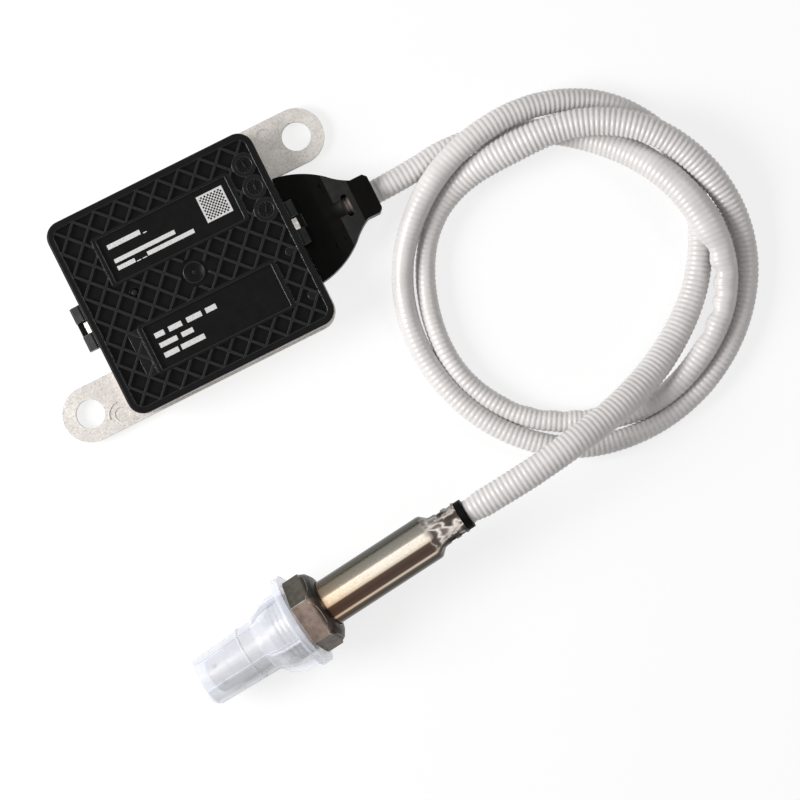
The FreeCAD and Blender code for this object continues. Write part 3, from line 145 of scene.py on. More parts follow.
class Finish:
    """A procedural material, built up in small steps on one Principled shader."""

    def __init__(self, name, colour, roughness, metallic=0.0):
        self.material = bpy.data.materials.new(name)
        self.material.use_nodes = True
        self.nodes = self.material.node_tree.nodes
        self.links = self.material.node_tree.links
        self.shader = self.nodes["Principled BSDF"]
        self.shader.inputs["Base Color"].default_value = (*colour[:3], 1)
        self.shader.inputs["Roughness"].default_value = roughness
        self.shader.inputs["Metallic"].default_value = metallic
        self.material.diffuse_color = (*colour[:3], 1)
        self.place = self.nodes.new("ShaderNodeTexCoord").outputs["Object"]
        self.normal_out = None

    def node(self, kind, **values):
        """A new node, with values for its sockets or else for its settings."""
        made = self.nodes.new(kind)
        for key, value in values.items():
            if key in made.inputs:
                made.inputs[key].default_value = value
            else:
                setattr(made, key, value)
        return made

    def noise(self, scale, detail=3.0, stretch=None):
        """Noise of about one wave per 1/scale metres, stretched where told."""
        texture = self.node("ShaderNodeTexNoise", Scale=scale, Detail=detail)
        source = self.place
        if stretch:
            mapping = self.node("ShaderNodeMapping")
            mapping.inputs["Scale"].default_value = stretch
            mapping.inputs["Rotation"].default_value = (0, 0, -PROBE_TURN)
            self.links.new(source, mapping.inputs["Vector"])
            source = mapping.outputs["Vector"]
        self.links.new(source, texture.inputs["Vector"])
        return texture.outputs["Fac"]

    def ramp(self, source, stops):
        """A colour ramp over source, from (place, colour) stops."""
        made = self.nodes.new("ShaderNodeValToRGB")
        band = made.color_ramp
        while len(band.elements) < len(stops):
            band.elements.new(0.5)
        for element, (place, value) in zip(band.elements, stops):
            element.position = place
            element.color = (*value[:3], 1) if hasattr(value, "__len__") else (value, value, value, 1)
        self.links.new(source, made.inputs["Fac"])
        return made.outputs["Color"]

    def mix(self, amount, a, b, blend="MIX"):
        """Mixes two colours, each a socket or a colour, by a socket or a number."""
        made = self.node("ShaderNodeMix", data_type="RGBA", blend_type=blend)
        for socket, value in ((made.inputs[0], amount), (made.inputs[6], a), (made.inputs[7], b)):
            if isinstance(value, bpy.types.NodeSocket):
                self.links.new(value, socket)
            elif hasattr(value, "__len__"):
                socket.default_value = (*value[:3], 1)
            else:
                socket.default_value = value
        return made.outputs[2]

    def colour(self, source):
        """Takes the colour from source."""
        self.links.new(source, self.shader.inputs["Base Color"])

    def roughness(self, source):
        """Takes the roughness from source."""
        self.links.new(source, self.shader.inputs["Roughness"])

    def soften(self, radius):
        """Lets hard edges catch the light as if they were rounded by radius, in metres."""
        made = self.node("ShaderNodeBevel", Radius=radius)
        made.samples = SOFT_SAMPLES
        self.normal_out = made.outputs["Normal"]
        self.links.new(self.normal_out, self.shader.inputs["Normal"])

    def edges(self, radius):
        """A socket that nears 1 along sharp edges and stays 0 on flat and gently curved ground."""
        rounded = self.node("ShaderNodeBevel", Radius=radius)
        rounded.samples = EDGE_SAMPLES
        shape = self.node("ShaderNodeNewGeometry")
        likeness = self.node("ShaderNodeVectorMath", operation="DOT_PRODUCT")
        self.links.new(rounded.outputs["Normal"], likeness.inputs[0])
        self.links.new(shape.outputs["True Normal"], likeness.inputs[1])
        return self.ramp(likeness.outputs["Value"], EDGE_LIKENESS)

    def around_probe(self):
        """Two sockets: the way round the probe's axis (0 below, 0.5 on top), and the station in metres."""
        mapping = self.node("ShaderNodeMapping")
        mapping.vector_type = "TEXTURE"
        mapping.inputs["Location"].default_value = probe_point(0)
        mapping.inputs["Rotation"].default_value = (0, PROBE_TILT, PROBE_TURN)
        self.links.new(self.place, mapping.inputs["Vector"])
        split = self.node("ShaderNodeSeparateXYZ")
        self.links.new(mapping.outputs["Vector"], split.inputs["Vector"])
        angle = self.node("ShaderNodeMath", operation="ARCTAN2")
        self.links.new(split.outputs["Y"], angle.inputs[0])
        self.links.new(split.outputs["Z"], angle.inputs[1])
        return self.spread(angle.outputs[0], -math.pi, math.pi), split.outputs["X"]

    def spread(self, source, low, high):
        """A socket that goes from 0 to 1 as source goes from low to high."""
        made = self.node("ShaderNodeMapRange")
        made.inputs["From Min"].default_value = low
        made.inputs["From Max"].default_value = high
        self.links.new(source, made.inputs["Value"])
        return made.outputs["Result"]

    def bump(self, source, strength, depth):
        """Adds relief; depth is in metres."""
        made = self.node("ShaderNodeBump", Strength=strength, Distance=depth)
        self.links.new(source, made.inputs["Height"])
        if self.normal_out is not None:
            self.links.new(self.normal_out, made.inputs["Normal"])
        self.normal_out = made.outputs["Normal"]
        self.links.new(self.normal_out, self.shader.inputs["Normal"])


def shade(colour, factor):
    """A colour made lighter or darker."""
    return tuple(min(1.0, c * factor) for c in colour[:3])


def cast_finish(name, colour):
    """Die-cast aluminium: pale speckle, soft grey blotches and a slight grain."""
    made = Finish(name, colour, 0.5, 0.55)
    made.soften(0.00012)
    speck = made.ramp(made.noise(1900, 5), [
        (0.30, shade(colour, 0.66)), (0.43, shade(colour, 0.91)), (0.6, colour),
        (0.72, shade(colour, 1.2))])
    blotch = made.ramp(made.noise(120, 3), [(0.34, 0.86), (0.6, 1.0)])
    made.colour(made.mix(1.0, speck, blotch, "MULTIPLY"))
    made.roughness(made.ramp(made.noise(900, 3), [(0.3, 0.38), (0.7, 0.6)]))
    made.bump(made.noise(1300, 4), 0.5, 0.00008)
    return made.material


# Painted highlight on the cover's ribs: heights in metres over which their tops are painted paler, how far
# at each height, and how much paler
RIB_HIGHLIGHT_SPAN = (0.0155, 0.0171)
RIB_TOP_HIGHLIGHT = ((0.0, 0.0), (0.5, 0.12), (0.67, 1.0), (0.78, 1.0), (0.86, 0.2), (1.0, 0.2))
RIB_HIGHLIGHT_GAIN = 3.4

# An edge's own gloss: its width as a share of the softened radius, and its roughness
EDGE_WIDTH = 1.5
EDGE_ROUGHNESS = 0.16


def moulded_finish(name, colour, roughness, gloss=0.5, edge=0.18 * MM, edge_gloss=0.0, painted_rib_highlight=False):
    """Moulded plastic: fine grain and patches of gloss, and where told glossier edges and a painted
    highlight on the rib tops.
    """
    made = Finish(name, colour, roughness)
    made.shader.inputs["Specular IOR Level"].default_value = gloss
    made.soften(edge)
    if edge_gloss:
        coat = made.node("ShaderNodeMath", operation="MULTIPLY")
        coat.inputs[1].default_value = edge_gloss
        made.links.new(made.edges(edge * EDGE_WIDTH), coat.inputs[0])
        made.links.new(coat.outputs[0], made.shader.inputs["Coat Weight"])
        made.shader.inputs["Coat Roughness"].default_value = EDGE_ROUGHNESS
        made.links.new(made.normal_out, made.shader.inputs["Coat Normal"])
    tone = made.ramp(made.noise(420, 4), [(0.3, shade(colour, 0.8)), (0.72, shade(colour, 1.3))])
    if painted_rib_highlight:
        # Painted highlight: the rib tops are painted paler than the rest of the cover, by their height
        split = made.node("ShaderNodeSeparateXYZ")
        made.links.new(made.place, split.inputs["Vector"])
        high = made.ramp(made.spread(split.outputs["Z"], *RIB_HIGHLIGHT_SPAN), RIB_TOP_HIGHLIGHT)
        tone = made.mix(high, tone, shade(colour, RIB_HIGHLIGHT_GAIN))
    made.colour(tone)
    made.roughness(made.ramp(made.noise(300, 3), [(0.3, roughness - 0.07), (0.7, roughness + 0.08)]))
    made.bump(made.noise(3200, 3), 0.4, 0.00003)
    return made.material


def steel_finish(name, colour, roughness):
    """Drawn or turned metal: fine lines along the probe."""
    made = Finish(name, colour, roughness, 1.0)
    lines = made.noise(900, 4, (1, 12, 12))
    made.colour(made.ramp(lines, [(0.3, shade(colour, 0.86)), (0.7, shade(colour, 1.1))]))
    made.roughness(made.ramp(lines, [(0.3, roughness - 0.08), (0.7, roughness + 0.08)]))
    made.bump(lines, 0.15, 0.00002)
    return made.material


# Painted light and shade on the nut: tones going round it from below (0) over its upper side (0.5), one
# lit or shaded tone to each flat
NUT_FLAT_LIGHT_AND_SHADE = [(0.0, (0.7, 0.66, 0.62)), (0.097, (0.7, 0.66, 0.62)), (0.105, (0.5, 0.5, 0.47)),
             (0.264, (0.5, 0.5, 0.47)), (0.272, (0.52, 0.57, 0.54)), (0.431, (0.60, 0.64, 0.60)),
             (0.438, (1.12, 1.0, 0.93)), (0.598, (0.94, 0.83, 0.76)), (0.605, (0.42, 0.4, 0.36)),
             (0.764, (0.42, 0.4, 0.36)), (0.772, (0.62, 0.6, 0.57)), (0.931, (0.62, 0.6, 0.57)),
             (0.939, (0.7, 0.66, 0.62))]

# Painted shadow on the nut's dark back, by station in metres
NUT_BACK_SHADOW_SPAN = (-0.0078, -0.0058)
NUT_BACK_SHADOW = ((0.0, 0.16), (0.55, 0.3), (1.0, 1.0))


def nut_finish(name, colour):
    """The union nut's dull machined steel: flats painted in lit and shaded tones, a painted shadow on its
    back, painted highlights on its corners, pits and stains.
    """
    made = Finish(name, colour, 0.4, 1.0)
    made.soften(0.0002)
    turn, station = made.around_probe()
    stain = made.ramp(made.noise(420, 6), [
        (0.3, shade(colour, 0.72)), (0.5, colour), (0.72, shade(colour, 1.3))])
    specks = made.ramp(made.noise(2200, 3), [(0.66, 0.0), (0.74, 0.5)])
    steel = made.mix(specks, stain, shade(colour, 1.7))
    # Painted light and shade: each flat gets its own lit or shaded tone
    lit_and_shaded_flats = made.mix(1.0, steel, made.ramp(turn, NUT_FLAT_LIGHT_AND_SHADE), "MULTIPLY")
    # Painted shadow: the back of the nut is darkened
    back = made.ramp(made.spread(station, *NUT_BACK_SHADOW_SPAN), NUT_BACK_SHADOW)
    painted_shaded = made.mix(1.0, lit_and_shaded_flats, back, "MULTIPLY")
    # Painted highlight: the nut's corners and edges are painted pale
    made.colour(made.mix(made.edges(0.00042), painted_shaded, shade(colour, 3.6)))
    made.roughness(made.ramp(made.noise(500, 4), [(0.3, 0.32), (0.7, 0.5)]))
    made.bump(made.noise(1300, 4), 0.3, 0.00005)
    return made.material


# Painted reflections on the drawn sleeve: light and dark bands going round it from below (0) over its
# upper side (0.5) to below again
SLEEVE_REFLECTION_BANDS = [(0.0, (0.5, 0.46, 0.42)), (0.07, (0.8, 0.76, 0.7)), (0.09, (0.2, 0.16, 0.14)),
                (0.16, (0.16, 0.12, 0.1)), (0.17, (0.6, 0.56, 0.5)), (0.24, (0.5, 0.47, 0.43)),
                (0.27, (0.06, 0.06, 0.055)), (0.335, (0.14, 0.14, 0.127)), (0.36, (0.27, 0.27, 0.245)),
                (0.43, (0.36, 0.35, 0.325)), (0.443, (0.46, 0.44, 0.40)), (0.452, (1.12, 1.07, 1.0)),
                (0.495, (1.24, 1.15, 1.05)), (0.515, (0.92, 0.81, 0.71)), (0.524, (0.135, 0.095, 0.08)),
                (0.56, (0.1, 0.066, 0.058)), (0.598, (0.13, 0.09, 0.08)), (0.607, (0.8, 0.72, 0.63)),
                (0.618, (0.82, 0.73, 0.64)), (0.627, (0.15, 0.125, 0.11)), (0.66, (0.05, 0.045, 0.04)),
                (0.75, (0.1, 0.09, 0.085)), (0.80, (0.62, 0.58, 0.54)), (0.88, (0.66, 0.62, 0.56)),
                (0.90, (0.18, 0.14, 0.12)), (0.95, (0.24, 0.19, 0.16)), (1.0, (0.5, 0.46, 0.42))]

# Stations in metres over which the heat tint comes in and the drawn sleeve gives way to the crimp
HEAT_SPAN = (-0.030, -0.007)
CRIMP_SPAN = (-0.0455, -0.0478)

# Painted reflections of the crimp's creases in light and dark, and painted shade: how much of them is left
# towards its sides
CREASE_REFLECTIONS = ((0.34, (0.07, 0.056, 0.049)), (0.44, (0.13, 0.105, 0.09)), (0.49, (0.42, 0.37, 0.33)),
           (0.53, (0.80, 0.76, 0.72)), (0.58, (0.66, 0.6, 0.56)), (0.66, (0.2, 0.165, 0.145)))
CREASE_SIDE_SHADE = ((0.27, 0.1), (0.36, 0.75), (0.46, 1.0), (0.56, 1.0), (0.63, 0.5), (0.72, 0.1))


def sleeve_finish(name, colour, tint):
    """Drawn stainless sleeve: fine lines, painted reflections in bands round it and on the creased crimp,
    painted shade towards the crimp's sides, and a heat tint next to the nut.
    """
    made = Finish(name, colour, 0.2, 1.0)
    turn, station = made.around_probe()
    lines = made.noise(900, 4, (0.25, 9, 9))
    steel = made.ramp(lines, [(0.3, shade(colour, 0.86)), (0.7, shade(colour, 1.1))])
    heat = made.ramp(made.spread(station, *HEAT_SPAN), [
        (0.0, (1, 1, 1)), (0.55, (1.0, 0.94, 0.86)), (0.85, (0.97, 0.84, 0.70)), (1.0, tint)])
    # Painted reflections: light and dark bands round the sleeve
    painted_reflections = made.ramp(turn, SLEEVE_REFLECTION_BANDS)
    drawn = made.mix(1.0, made.mix(1.0, steel, heat, "MULTIPLY"), painted_reflections, "MULTIPLY")
    # Painted reflections on the crimp's creases, darkened towards its sides as painted shade
    crease_reflections = made.ramp(made.noise(250, 1.0, (0.7, 1.5, 1.5)), CREASE_REFLECTIONS)
    painted_crimp = made.mix(1.0, crease_reflections, made.ramp(turn, CREASE_SIDE_SHADE), "MULTIPLY")
    made.colour(made.mix(made.spread(station, *CRIMP_SPAN), drawn, painted_crimp))
    made.roughness(made.ramp(lines, [(0.3, 0.17), (0.7, 0.28)]))
    made.bump(lines, 0.12, 0.00002)
    return made.material


def ceramic_finish(name, colour):
    """Fired ceramic, matt with a faint mottle."""
    made = Finish(name, colour, 0.55)
    made.colour(made.ramp(made.noise(700, 4), [(0.3, shade(colour, 0.92)), (0.7, shade(colour, 1.04))]))
    made.bump(made.noise(2400, 3), 0.3, 0.00003)
    return made.material


# Painted shade on the hose's end inside the guide: reach from its start in metres, and tone
SLOT_SHADE_SPAN = (0.0085, 0.0105)
SLOT_SHADE = ((0.0, (0.16, 0.13, 0.12)), (1.0, 1.0))


def hose_finish(name, colour):
    """Semi-gloss conduit with faint clouding, dull patches, and painted shade on its end inside the guide.
    """
    made = Finish(name, colour, 0.3)
    clouds = made.ramp(made.noise(110, 4), [(0.3, shade(colour, 0.93)), (0.7, shade(colour, 1.05))])
    reach = made.node("ShaderNodeVectorMath", operation="DISTANCE")
    reach.inputs[1].default_value = HOSE_ROUTE[0]
    made.links.new(made.place, reach.inputs[0])
    # Painted shade: the hose is darkened where it lies inside the guide
    slot_shade = made.ramp(made.spread(reach.outputs["Value"], *SLOT_SHADE_SPAN), SLOT_SHADE)
    made.colour(made.mix(1.0, clouds, slot_shade, "MULTIPLY"))
    made.roughness(made.ramp(made.noise(260, 3), [(0.3, 0.26), (0.7, 0.42)]))
    made.bump(made.noise(420, 3), 0.4, 0.0001)
    made.shader.inputs["Subsurface Weight"].default_value = 0.05
    made.shader.inputs["Subsurface Radius"].default_value = (0.002, 0.0018, 0.0016)
    made.shader.inputs["Subsurface Scale"].default_value = 1.0
    return made.material


def cap_finish(name, colour, alpha):
    """Milky moulded cap that lets the metal under it show and hides more of it along its sharp edges."""
    made = Finish(name, colour, 0.24)
    made.soften(0.0002)
    made.colour(made.ramp(made.noise(240, 4), [(0.3, shade(colour, 0.96)), (0.7, shade(colour, 1.03))]))
    made.roughness(made.ramp(made.noise(500, 3), [(0.3, 0.16), (0.7, 0.32)]))
    made.bump(made.noise(900, 3), 0.2, 0.00004)
    cover = made.ramp(made.edges(0.0003), [(0.0, alpha), (1.0, min(1.0, alpha + 0.45))])
    made.links.new(cover, made.shader.inputs["Alpha"])
    return made.material


def print_finish(name, colour):
    """Matt white ink, slightly uneven."""
    made = Finish(name, colour, 0.6)
    made.colour(made.ramp(made.noise(2600, 3), [(0.35, shade(colour, 0.72)), (0.6, colour)]))
    return made.material


def length_setting(name, description, default):
    """A length in metres that the panel shows."""
    return FloatProperty(name=name, description=description, default=default, unit="LENGTH")


def colour_setting(name, description, default):
    """A colour that the panel shows."""
    return FloatVectorProperty(name=name, description=description, default=default, subtype="COLOR")


class HoseSettings(bpy.types.PropertyGroup):
    diameter: length_setting("Diameter", "Outside diameter over the ridges", 7.6 * MM)
    length: length_setting("Length", "Length with both clamped ends", 0.8734)
    pitch: length_setting("Ridge pitch", "Distance between two ridges", 1.6 * MM)
    depth: length_setting("Ridge depth", "Depth of the grooves between ridges", 0.27 * MM)
    sides: IntProperty(name="Sides", description="Points around the hose", default=24, min=8)
    colour: colour_setting("Colour", "Colour of the conduit", (0.63, 0.606, 0.594))


class PrintSettings(bpy.types.PropertyGroup):
    ink: colour_setting("Ink", "Colour of the printed bars", (0.62, 0.61, 0.60))
    film: length_setting("Film", "Thickness of the printed film", 0.04 * MM)


class DetailSettings(bpy.types.PropertyGroup):
    thread_pitch: length_setting("Thread pitch", "Pitch of the union nut's thread", 1.5 * MM)
    tick: length_setting("Tick height", "Height of the ticks in the date marks", 0.35 * MM)


class FinishSettings(bpy.types.PropertyGroup):
    alloy: colour_setting("Casting", "Colour of the cast base", (0.63, 0.595, 0.56))
    black: colour_setting("Mouldings", "Colour of the cover", (0.0042, 0.0042, 0.0044))
    guide: colour_setting("Guide", "Colour of guide and connector", (0.0028, 0.0026, 0.0022))
    steel: colour_setting("Sleeve", "Colour of the polished sleeve", (0.74, 0.71, 0.66))
    tint: colour_setting("Heat tint", "Tint of the sleeve next to the nut", (0.72, 0.46, 0.32))
    nut: colour_setting("Nut", "Colour of the union nut", (0.215, 0.185, 0.165))
    cap: colour_setting("Cap", "Colour of the protective cap", (0.83, 0.853, 0.925))
    cap_alpha: FloatProperty(name="Cap cover", description="How much the cap hides what it covers",
                             default=0.36, min=0, max=1, subtype="FACTOR")


class StudioSettings(bpy.types.PropertyGroup):
    height: length_setting("Camera height", "Height of the camera over the table", 1.0)
    lens: FloatProperty(name="Lens", description="Focal length on a 36 mm sensor", default=145.97)
    floor: colour_setting("Floor", "Colour of the table", (0.93, 0.93, 0.93))
    lamp: FloatProperty(name="Main lamp", description="Strength of the large soft lamp",
                        default=12.6, unit="POWER")
    ambient: FloatProperty(name="Room light", description="Strength of the even light", default=0.26)


def route_points(route, name):
    """Points on the smooth line of a route, read from one NURBS spline without thickness."""
    curve = bpy.data.curves.new(name, "CURVE")
    curve.dimensions = "3D"
    spline = curve.splines.new("NURBS")
    spline.points.add(len(route) - 1)
    for point, place in zip(spline.points, route):
        point.co = (*place, 1)
    spline.order_u = 3
    spline.use_endpoint_u = True
    spline.resolution_u = 24
    holder = bpy.data.objects.new(name, curve)
    bpy.context.scene.collection.objects.link(holder)
    bpy.context.view_layer.update()
    line = bpy.data.meshes.new_from_object(holder)
    points = [vertex.co.copy() for vertex in line.vertices]
    bpy.data.objects.remove(holder)
    bpy.data.meshes.remove(line)
    return points


def evenly(points, step):
    """Points a fixed step apart along a line of points, and the line's length."""
    sums = [0.0]
    for a, b in zip(points, points[1:]):
        sums.append(sums[-1] + (b - a).length)
    count = int(sums[-1] / step)
    found = []
    i = 0
    for n in range(count + 1):
        at = sums[-1] * n / count
        while i < len(points) - 2 and sums[i + 1] < at:
            i += 1
        share = (at - sums[i]) / (sums[i + 1] - sums[i])
        found.append(points[i].lerp(points[i + 1], share))
    return found, sums[-1]


def between(table, at):
    """The value of a table of (place, value) pairs at a place, in straight lines."""
    if at <= table[0][0]:
        return table[0][1]
    for (a, va), (b, vb) in zip(table, table[1:]):
        if at <= b:
            return va + (vb - va) * (at - a) / (b - a)
    return table[-1][1]


# A ridge's section as (place in its pitch, relief as a share of its depth), and its greatest lean
RIDGE_SECTION = ((0.0, -1.0), (0.15, -0.72), (0.32, -0.2), (0.5, 0.0), (0.68, -0.2), (0.85, -0.72))
RIDGE_LEAN = 0.10

# Steps of the hose's line in one pitch, and how many to each side give its direction
LINE_STEPS = 10
AIM_STEPS = 12

# Soft dents all over the hose: their depth as a share of its radius, and how many to a metre
DENT_DEPTH = 0.014
DENT_SCALE = 160

# How strong the ridges are and how wide the hose lies, at distances along it in metres
RIDGE_SHARE = [(0.0, 0.7), (0.06, 0.8), (0.1, 0.5), (0.13, 0.25), (0.17, 0.5), (0.2, 0.8), (0.25, 0.9),
               (0.28, 0.6), (0.31, 0.7), (0.34, 1.1), (0.42, 1.1), (0.46, 0.7), (0.52, 0.9), (0.56, 0.7),
               (0.59, 0.3), (0.64, 0.2), (0.66, 0.8), (0.72, 1.0), (0.78, 0.7), (0.88, 0.7)]
WIDTH_SHARE = [(0.0, 1.0), (0.064, 1.0), (0.087, 1.18), (0.109, 1.2), (0.130, 1.3), (0.150, 1.02),
               (0.170, 0.96), (0.192, 0.92), (0.214, 0.96), (0.236, 0.86), (0.257, 0.83), (0.300, 0.82),
               (0.310, 0.88), (0.325, 1.12), (0.340, 1.28), (0.361, 1.18), (0.384, 1.16), (0.407, 1.16),
               (0.430, 1.0), (0.452, 0.88), (0.499, 0.84), (0.522, 0.9), (0.566, 0.9), (0.611, 0.88),
               (0.634, 0.98), (0.657, 1.0), (0.679, 0.99), (0.701, 0.98), (0.746, 1.0), (0.769, 1.08),
               (0.793, 1.2), (0.816, 1.2), (0.858, 1.16), (0.868, 1.14), (0.872, 1.0)]

# Pinches on the hose's inner side: distance along it, depth as a share of its radius, and half width
PINCHES = [(0.137, 0.30, 0.0030), (0.1445, 0.40, 0.0022), (0.1515, 0.28, 0.0018), (0.1575, 0.34, 0.002),
           (0.165, 0.22, 0.0025),
           (0.228, 0.14, 0.003), (0.221, 0.16, 0.0022), (0.2145, 0.12, 0.002), (0.236, 0.1, 0.003)]

# A pinch also lowers the hose's upper side: by this share of its depth, and turned by this angle
DIP_SHARE = 0.4
DIP_TURN = 0.6


class SENSOR_OT_hose(bpy.types.Operator):
    """Builds the corrugated hose along its route"""
    bl_idname = "sensor.hose"
    bl_label = "Build hose"

    def execute(self, context):
        s = context.scene.sensor_hose
        path, length = evenly(route_points(HOSE_ROUTE, "hose_line"), s.pitch / LINE_STEPS)
        last = len(path) - 1
        ridges = int(length / s.pitch)
        points = []
        for ridge in range(1, ridges):
            slant = RIDGE_LEAN * noise.noise(Vector((ridge * 0.31, 0, 0)))
            for phase, relief in RIDGE_SECTION:
                at = (ridge + phase) / ridges * last
                i = min(int(at), last - 1)
                centre = path[i].lerp(path[i + 1], at - i)
                along = (path[min(last, i + AIM_STEPS)] - path[max(0, i - AIM_STEPS)]).normalized()
                gone = at / last * length
                radius = s.diameter / 2 + relief * s.depth * between(RIDGE_SHARE, gone)
                for out, across in self.section(along, gone, s.sides):
                    dent = 1 + DENT_DEPTH * noise.noise(centre * DENT_SCALE + out * 2)
                    points.append(centre + out * radius * dent + along * s.pitch * slant * across)
        rings = len(points) // s.sides
        faces = ring_faces(rings, s.sides)
        faces.append(tuple(reversed(range(s.sides))))
        faces.append(tuple(range((rings - 1) * s.sides, rings * s.sides)))
        hose = mesh_piece("hose_skin", points, faces, hose_finish("hose_grey", s.colour), "sensor")
        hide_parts("corrugated_hose")
        return {"FINISHED"}

    def section(self, along, gone, sides):
        """The ways out from the hose's middle, all round it at one place, widened and pinched."""
        side = along.cross(Vector((0, 0, 1))).normalized()
        up = side.cross(along)
        wide = between(WIDTH_SHARE, gone)
        pinch = sum(deep * math.exp(-((gone - place) / half) ** 2) for place, deep, half in PINCHES)
        for k in range(sides):
            a = 2 * math.pi * k / sides
            across = math.cos(a)
            dip = 1 - DIP_SHARE * pinch * max(0.0, math.sin(a + DIP_TURN))
            yield side * wide * across * (1 - pinch * max(0.0, across)) + up * math.sin(a) * dip, across


# Printed bars on the two label fields: (left, right, middle, line height) in millimetres, and how much
# of the line's height a bar takes
PRINT_ROWS = [
    (-19.1, -8.1, 18.2, 1.75), (-7.4, -6.2, 17.4, 0.35),
    (-19.0, 1.4, 13.5, 1.55), (-19.1, -13.2, 11.2, 1.55), (-12.9, -11.4, 10.6, 0.3),
    (-10.9, -9.4, 10.6, 0.3), (-9.0, 6.8, 11.2, 1.55),
    (-18.2, -15.0, -12.2, 1.9), (-13.5, -9.1, -12.2, 1.9), (-7.4, -2.4, -12.2, 1.9),
    (-1.0, 2.6, -12.2, 1.9),
    (-18.1, -12.2, -15.5, 1.8), (-10.7, -6.8, -15.5, 1.8),
    (-18.1, -13.3, -18.8, 1.9), (-12.4, -4.5, -18.8, 1.9)]
BAR_SHARE = 0.86

# The chequered square: its middle and side in millimetres, and its cells to a side
PRINT_SQUARE = (15.9, 15.6, 8.6)
CELLS = 15


class SENSOR_OT_print(bpy.types.Operator):
    """Prints plain bars and a chequered square on the label fields"""
    bl_idname = "sensor.print"
    bl_label = "Print label fields"

    def execute(self, context):
        s = context.scene.sensor_print
        film = s.film / MM
        parts = []
        for left, right, middle, height in PRINT_ROWS:
            size = (right - left, height * BAR_SHARE)
            parts.append(plate(((left + right) / 2, middle), size, LABEL_FLOOR, film))
        x, y, side = PRINT_SQUARE
        cell = side / CELLS
        for i in range(CELLS):
            for j in range(CELLS):
                if (i + j) % 2 == 0 or i in (0, CELLS - 1) or j in (0, CELLS - 1):
                    centre = (x + (i - (CELLS - 1) / 2) * cell, y + (j - (CELLS - 1) / 2) * cell)
                    parts.append(plate(centre, (cell, cell), LABEL_FLOOR, film))
        mesh_piece("label_print", *joined(parts), print_finish("white_ink", s.ink), "sensor", smooth=False)
        return {"FINISHED"}


# The date marks, in millimetres: each one's middle and its pointer's turn in degrees
CLOCKS = (((29.2, 22.3), 92), ((29.2, 14.8), 88), ((29.2, 7.2), 60))

# Ticks in a date mark: how many, length and width, distance from the middle, turn of the first
TICKS = 12
TICK_SIZE = (0.62, 0.22)
TICK_AT = 1.85
TICK_TURN = 0.2

# Pointer in a date mark: length and width, height over a tick's, and the two barbs at its tip
POINTER_SIZE = (1.9, 0.4)
POINTER_RISE = 1.6
BARB_SIZE = (0.8, 0.25)
BARB_AT = 0.85
BARB_LEAN = 2.5

# The pits in the guide's roof, in millimetres: their middles, and their section as (radius, height)
GUIDE_PITS = ((47.0, 6.9, 9.7), (47.3, -11.0, 9.7), (43.7, -11.9, 9.2))
PIT_SECTION = ((0.75, -0.05), (0.62, 0.03), (0.45, 0.03), (0.0, -0.02))
PIT_SIDES = 16

# The saddle on the guide's roof, in millimetres: (x, height) along it, and (across, height) over it
SADDLE_LENGTH = ((46.9, 9.70), (48.3, 9.92), (50.4, 10.75))
SADDLE_SECTION = ((-2.5, -0.05), (-2.2, 0.12), (2.2, 0.12), (2.5, -0.05))


class SENSOR_OT_marks(bpy.types.Operator):
    """Moulds the ticks and pointers into the date marks, and the saddle and pits onto the guide"""
    bl_idname = "sensor.marks"
    bl_label = "Mould small marks"

    def execute(self, context):
        finish = context.scene.sensor_finish
        self.dates(context.scene.sensor_detail.tick / MM, finish.black)
        self.saddle(finish.guide)
        self.pits(finish.guide)
        return {"FINISHED"}

    def dates(self, height, colour):
        """A ring of ticks and an arrow in each date mark."""
        parts = []
        for (x, y), degrees in CLOCKS:
            for k in range(TICKS):
                a = 2 * math.pi * k / TICKS + TICK_TURN
                centre = (x + TICK_AT * math.cos(a), y + TICK_AT * math.sin(a))
                parts.append(plate(centre, TICK_SIZE, CLOCK_FLOOR, height, a))
            turn = math.radians(degrees)
            parts.append(plate((x, y), POINTER_SIZE, CLOCK_FLOOR, height * POINTER_RISE, turn))
            tip = (x + BARB_AT * math.cos(turn), y + BARB_AT * math.sin(turn))
            for lean in (BARB_LEAN, -BARB_LEAN):
                parts.append(plate(tip, BARB_SIZE, CLOCK_FLOOR, height * POINTER_RISE, turn + lean))
        black = moulded_finish("mark_black", colour, 0.3, 0.2, 0.1 * MM, 0.9)
        mesh_piece("date_ticks", *joined(parts), black, "sensor", smooth=False)

    def saddle(self, colour):
        """The low saddle on the guide's roof, over the end of the hose."""
        points = [Vector((x, HOSE_EXIT[1] / MM + y, z + up)) * MM
                  for x, z in SADDLE_LENGTH for y, up in SADDLE_SECTION]
        wide = len(SADDLE_SECTION)
        faces = [(i * wide + k, i * wide + k + 1, (i + 1) * wide + k + 1, (i + 1) * wide + k)
                 for i in range(len(SADDLE_LENGTH) - 1) for k in range(wide - 1)]
        black = moulded_finish("saddle_black", colour, 0.34, 0.04)
        mesh_piece("guide_saddle", points, faces, black, "sensor")

    def pits(self, colour):
        """The small round pits in the guide's roof, coloured darker as painted shade."""
        parts = []
        for x, y, z in GUIDE_PITS:
            points = []
            for r, h in PIT_SECTION:
                for k in range(PIT_SIDES):
                    a = 2 * math.pi * k / PIT_SIDES
                    points.append(Vector((x + r * math.cos(a), y + r * math.sin(a), z + h)) * MM)
            parts.append((points, ring_faces(len(PIT_SECTION), PIT_SIDES)))
        # Painted shade: the pits are coloured darker than the guide's roof
        black = moulded_finish("pit_painted_shade", shade(colour, 0.4), 0.5, 0.02)
        mesh_piece("guide_pits", *joined(parts), black, "sensor")


# The thread, in millimetres: its two ends, its section as (share of the pitch, radius), points to a turn
THREAD_SPAN = (1.8, 7.2)
THREAD_SECTION = ((-0.45, 9.9), (-0.108, 10.22), (0.108, 10.22), (0.45, 9.9))
THREAD_SIDES = 48


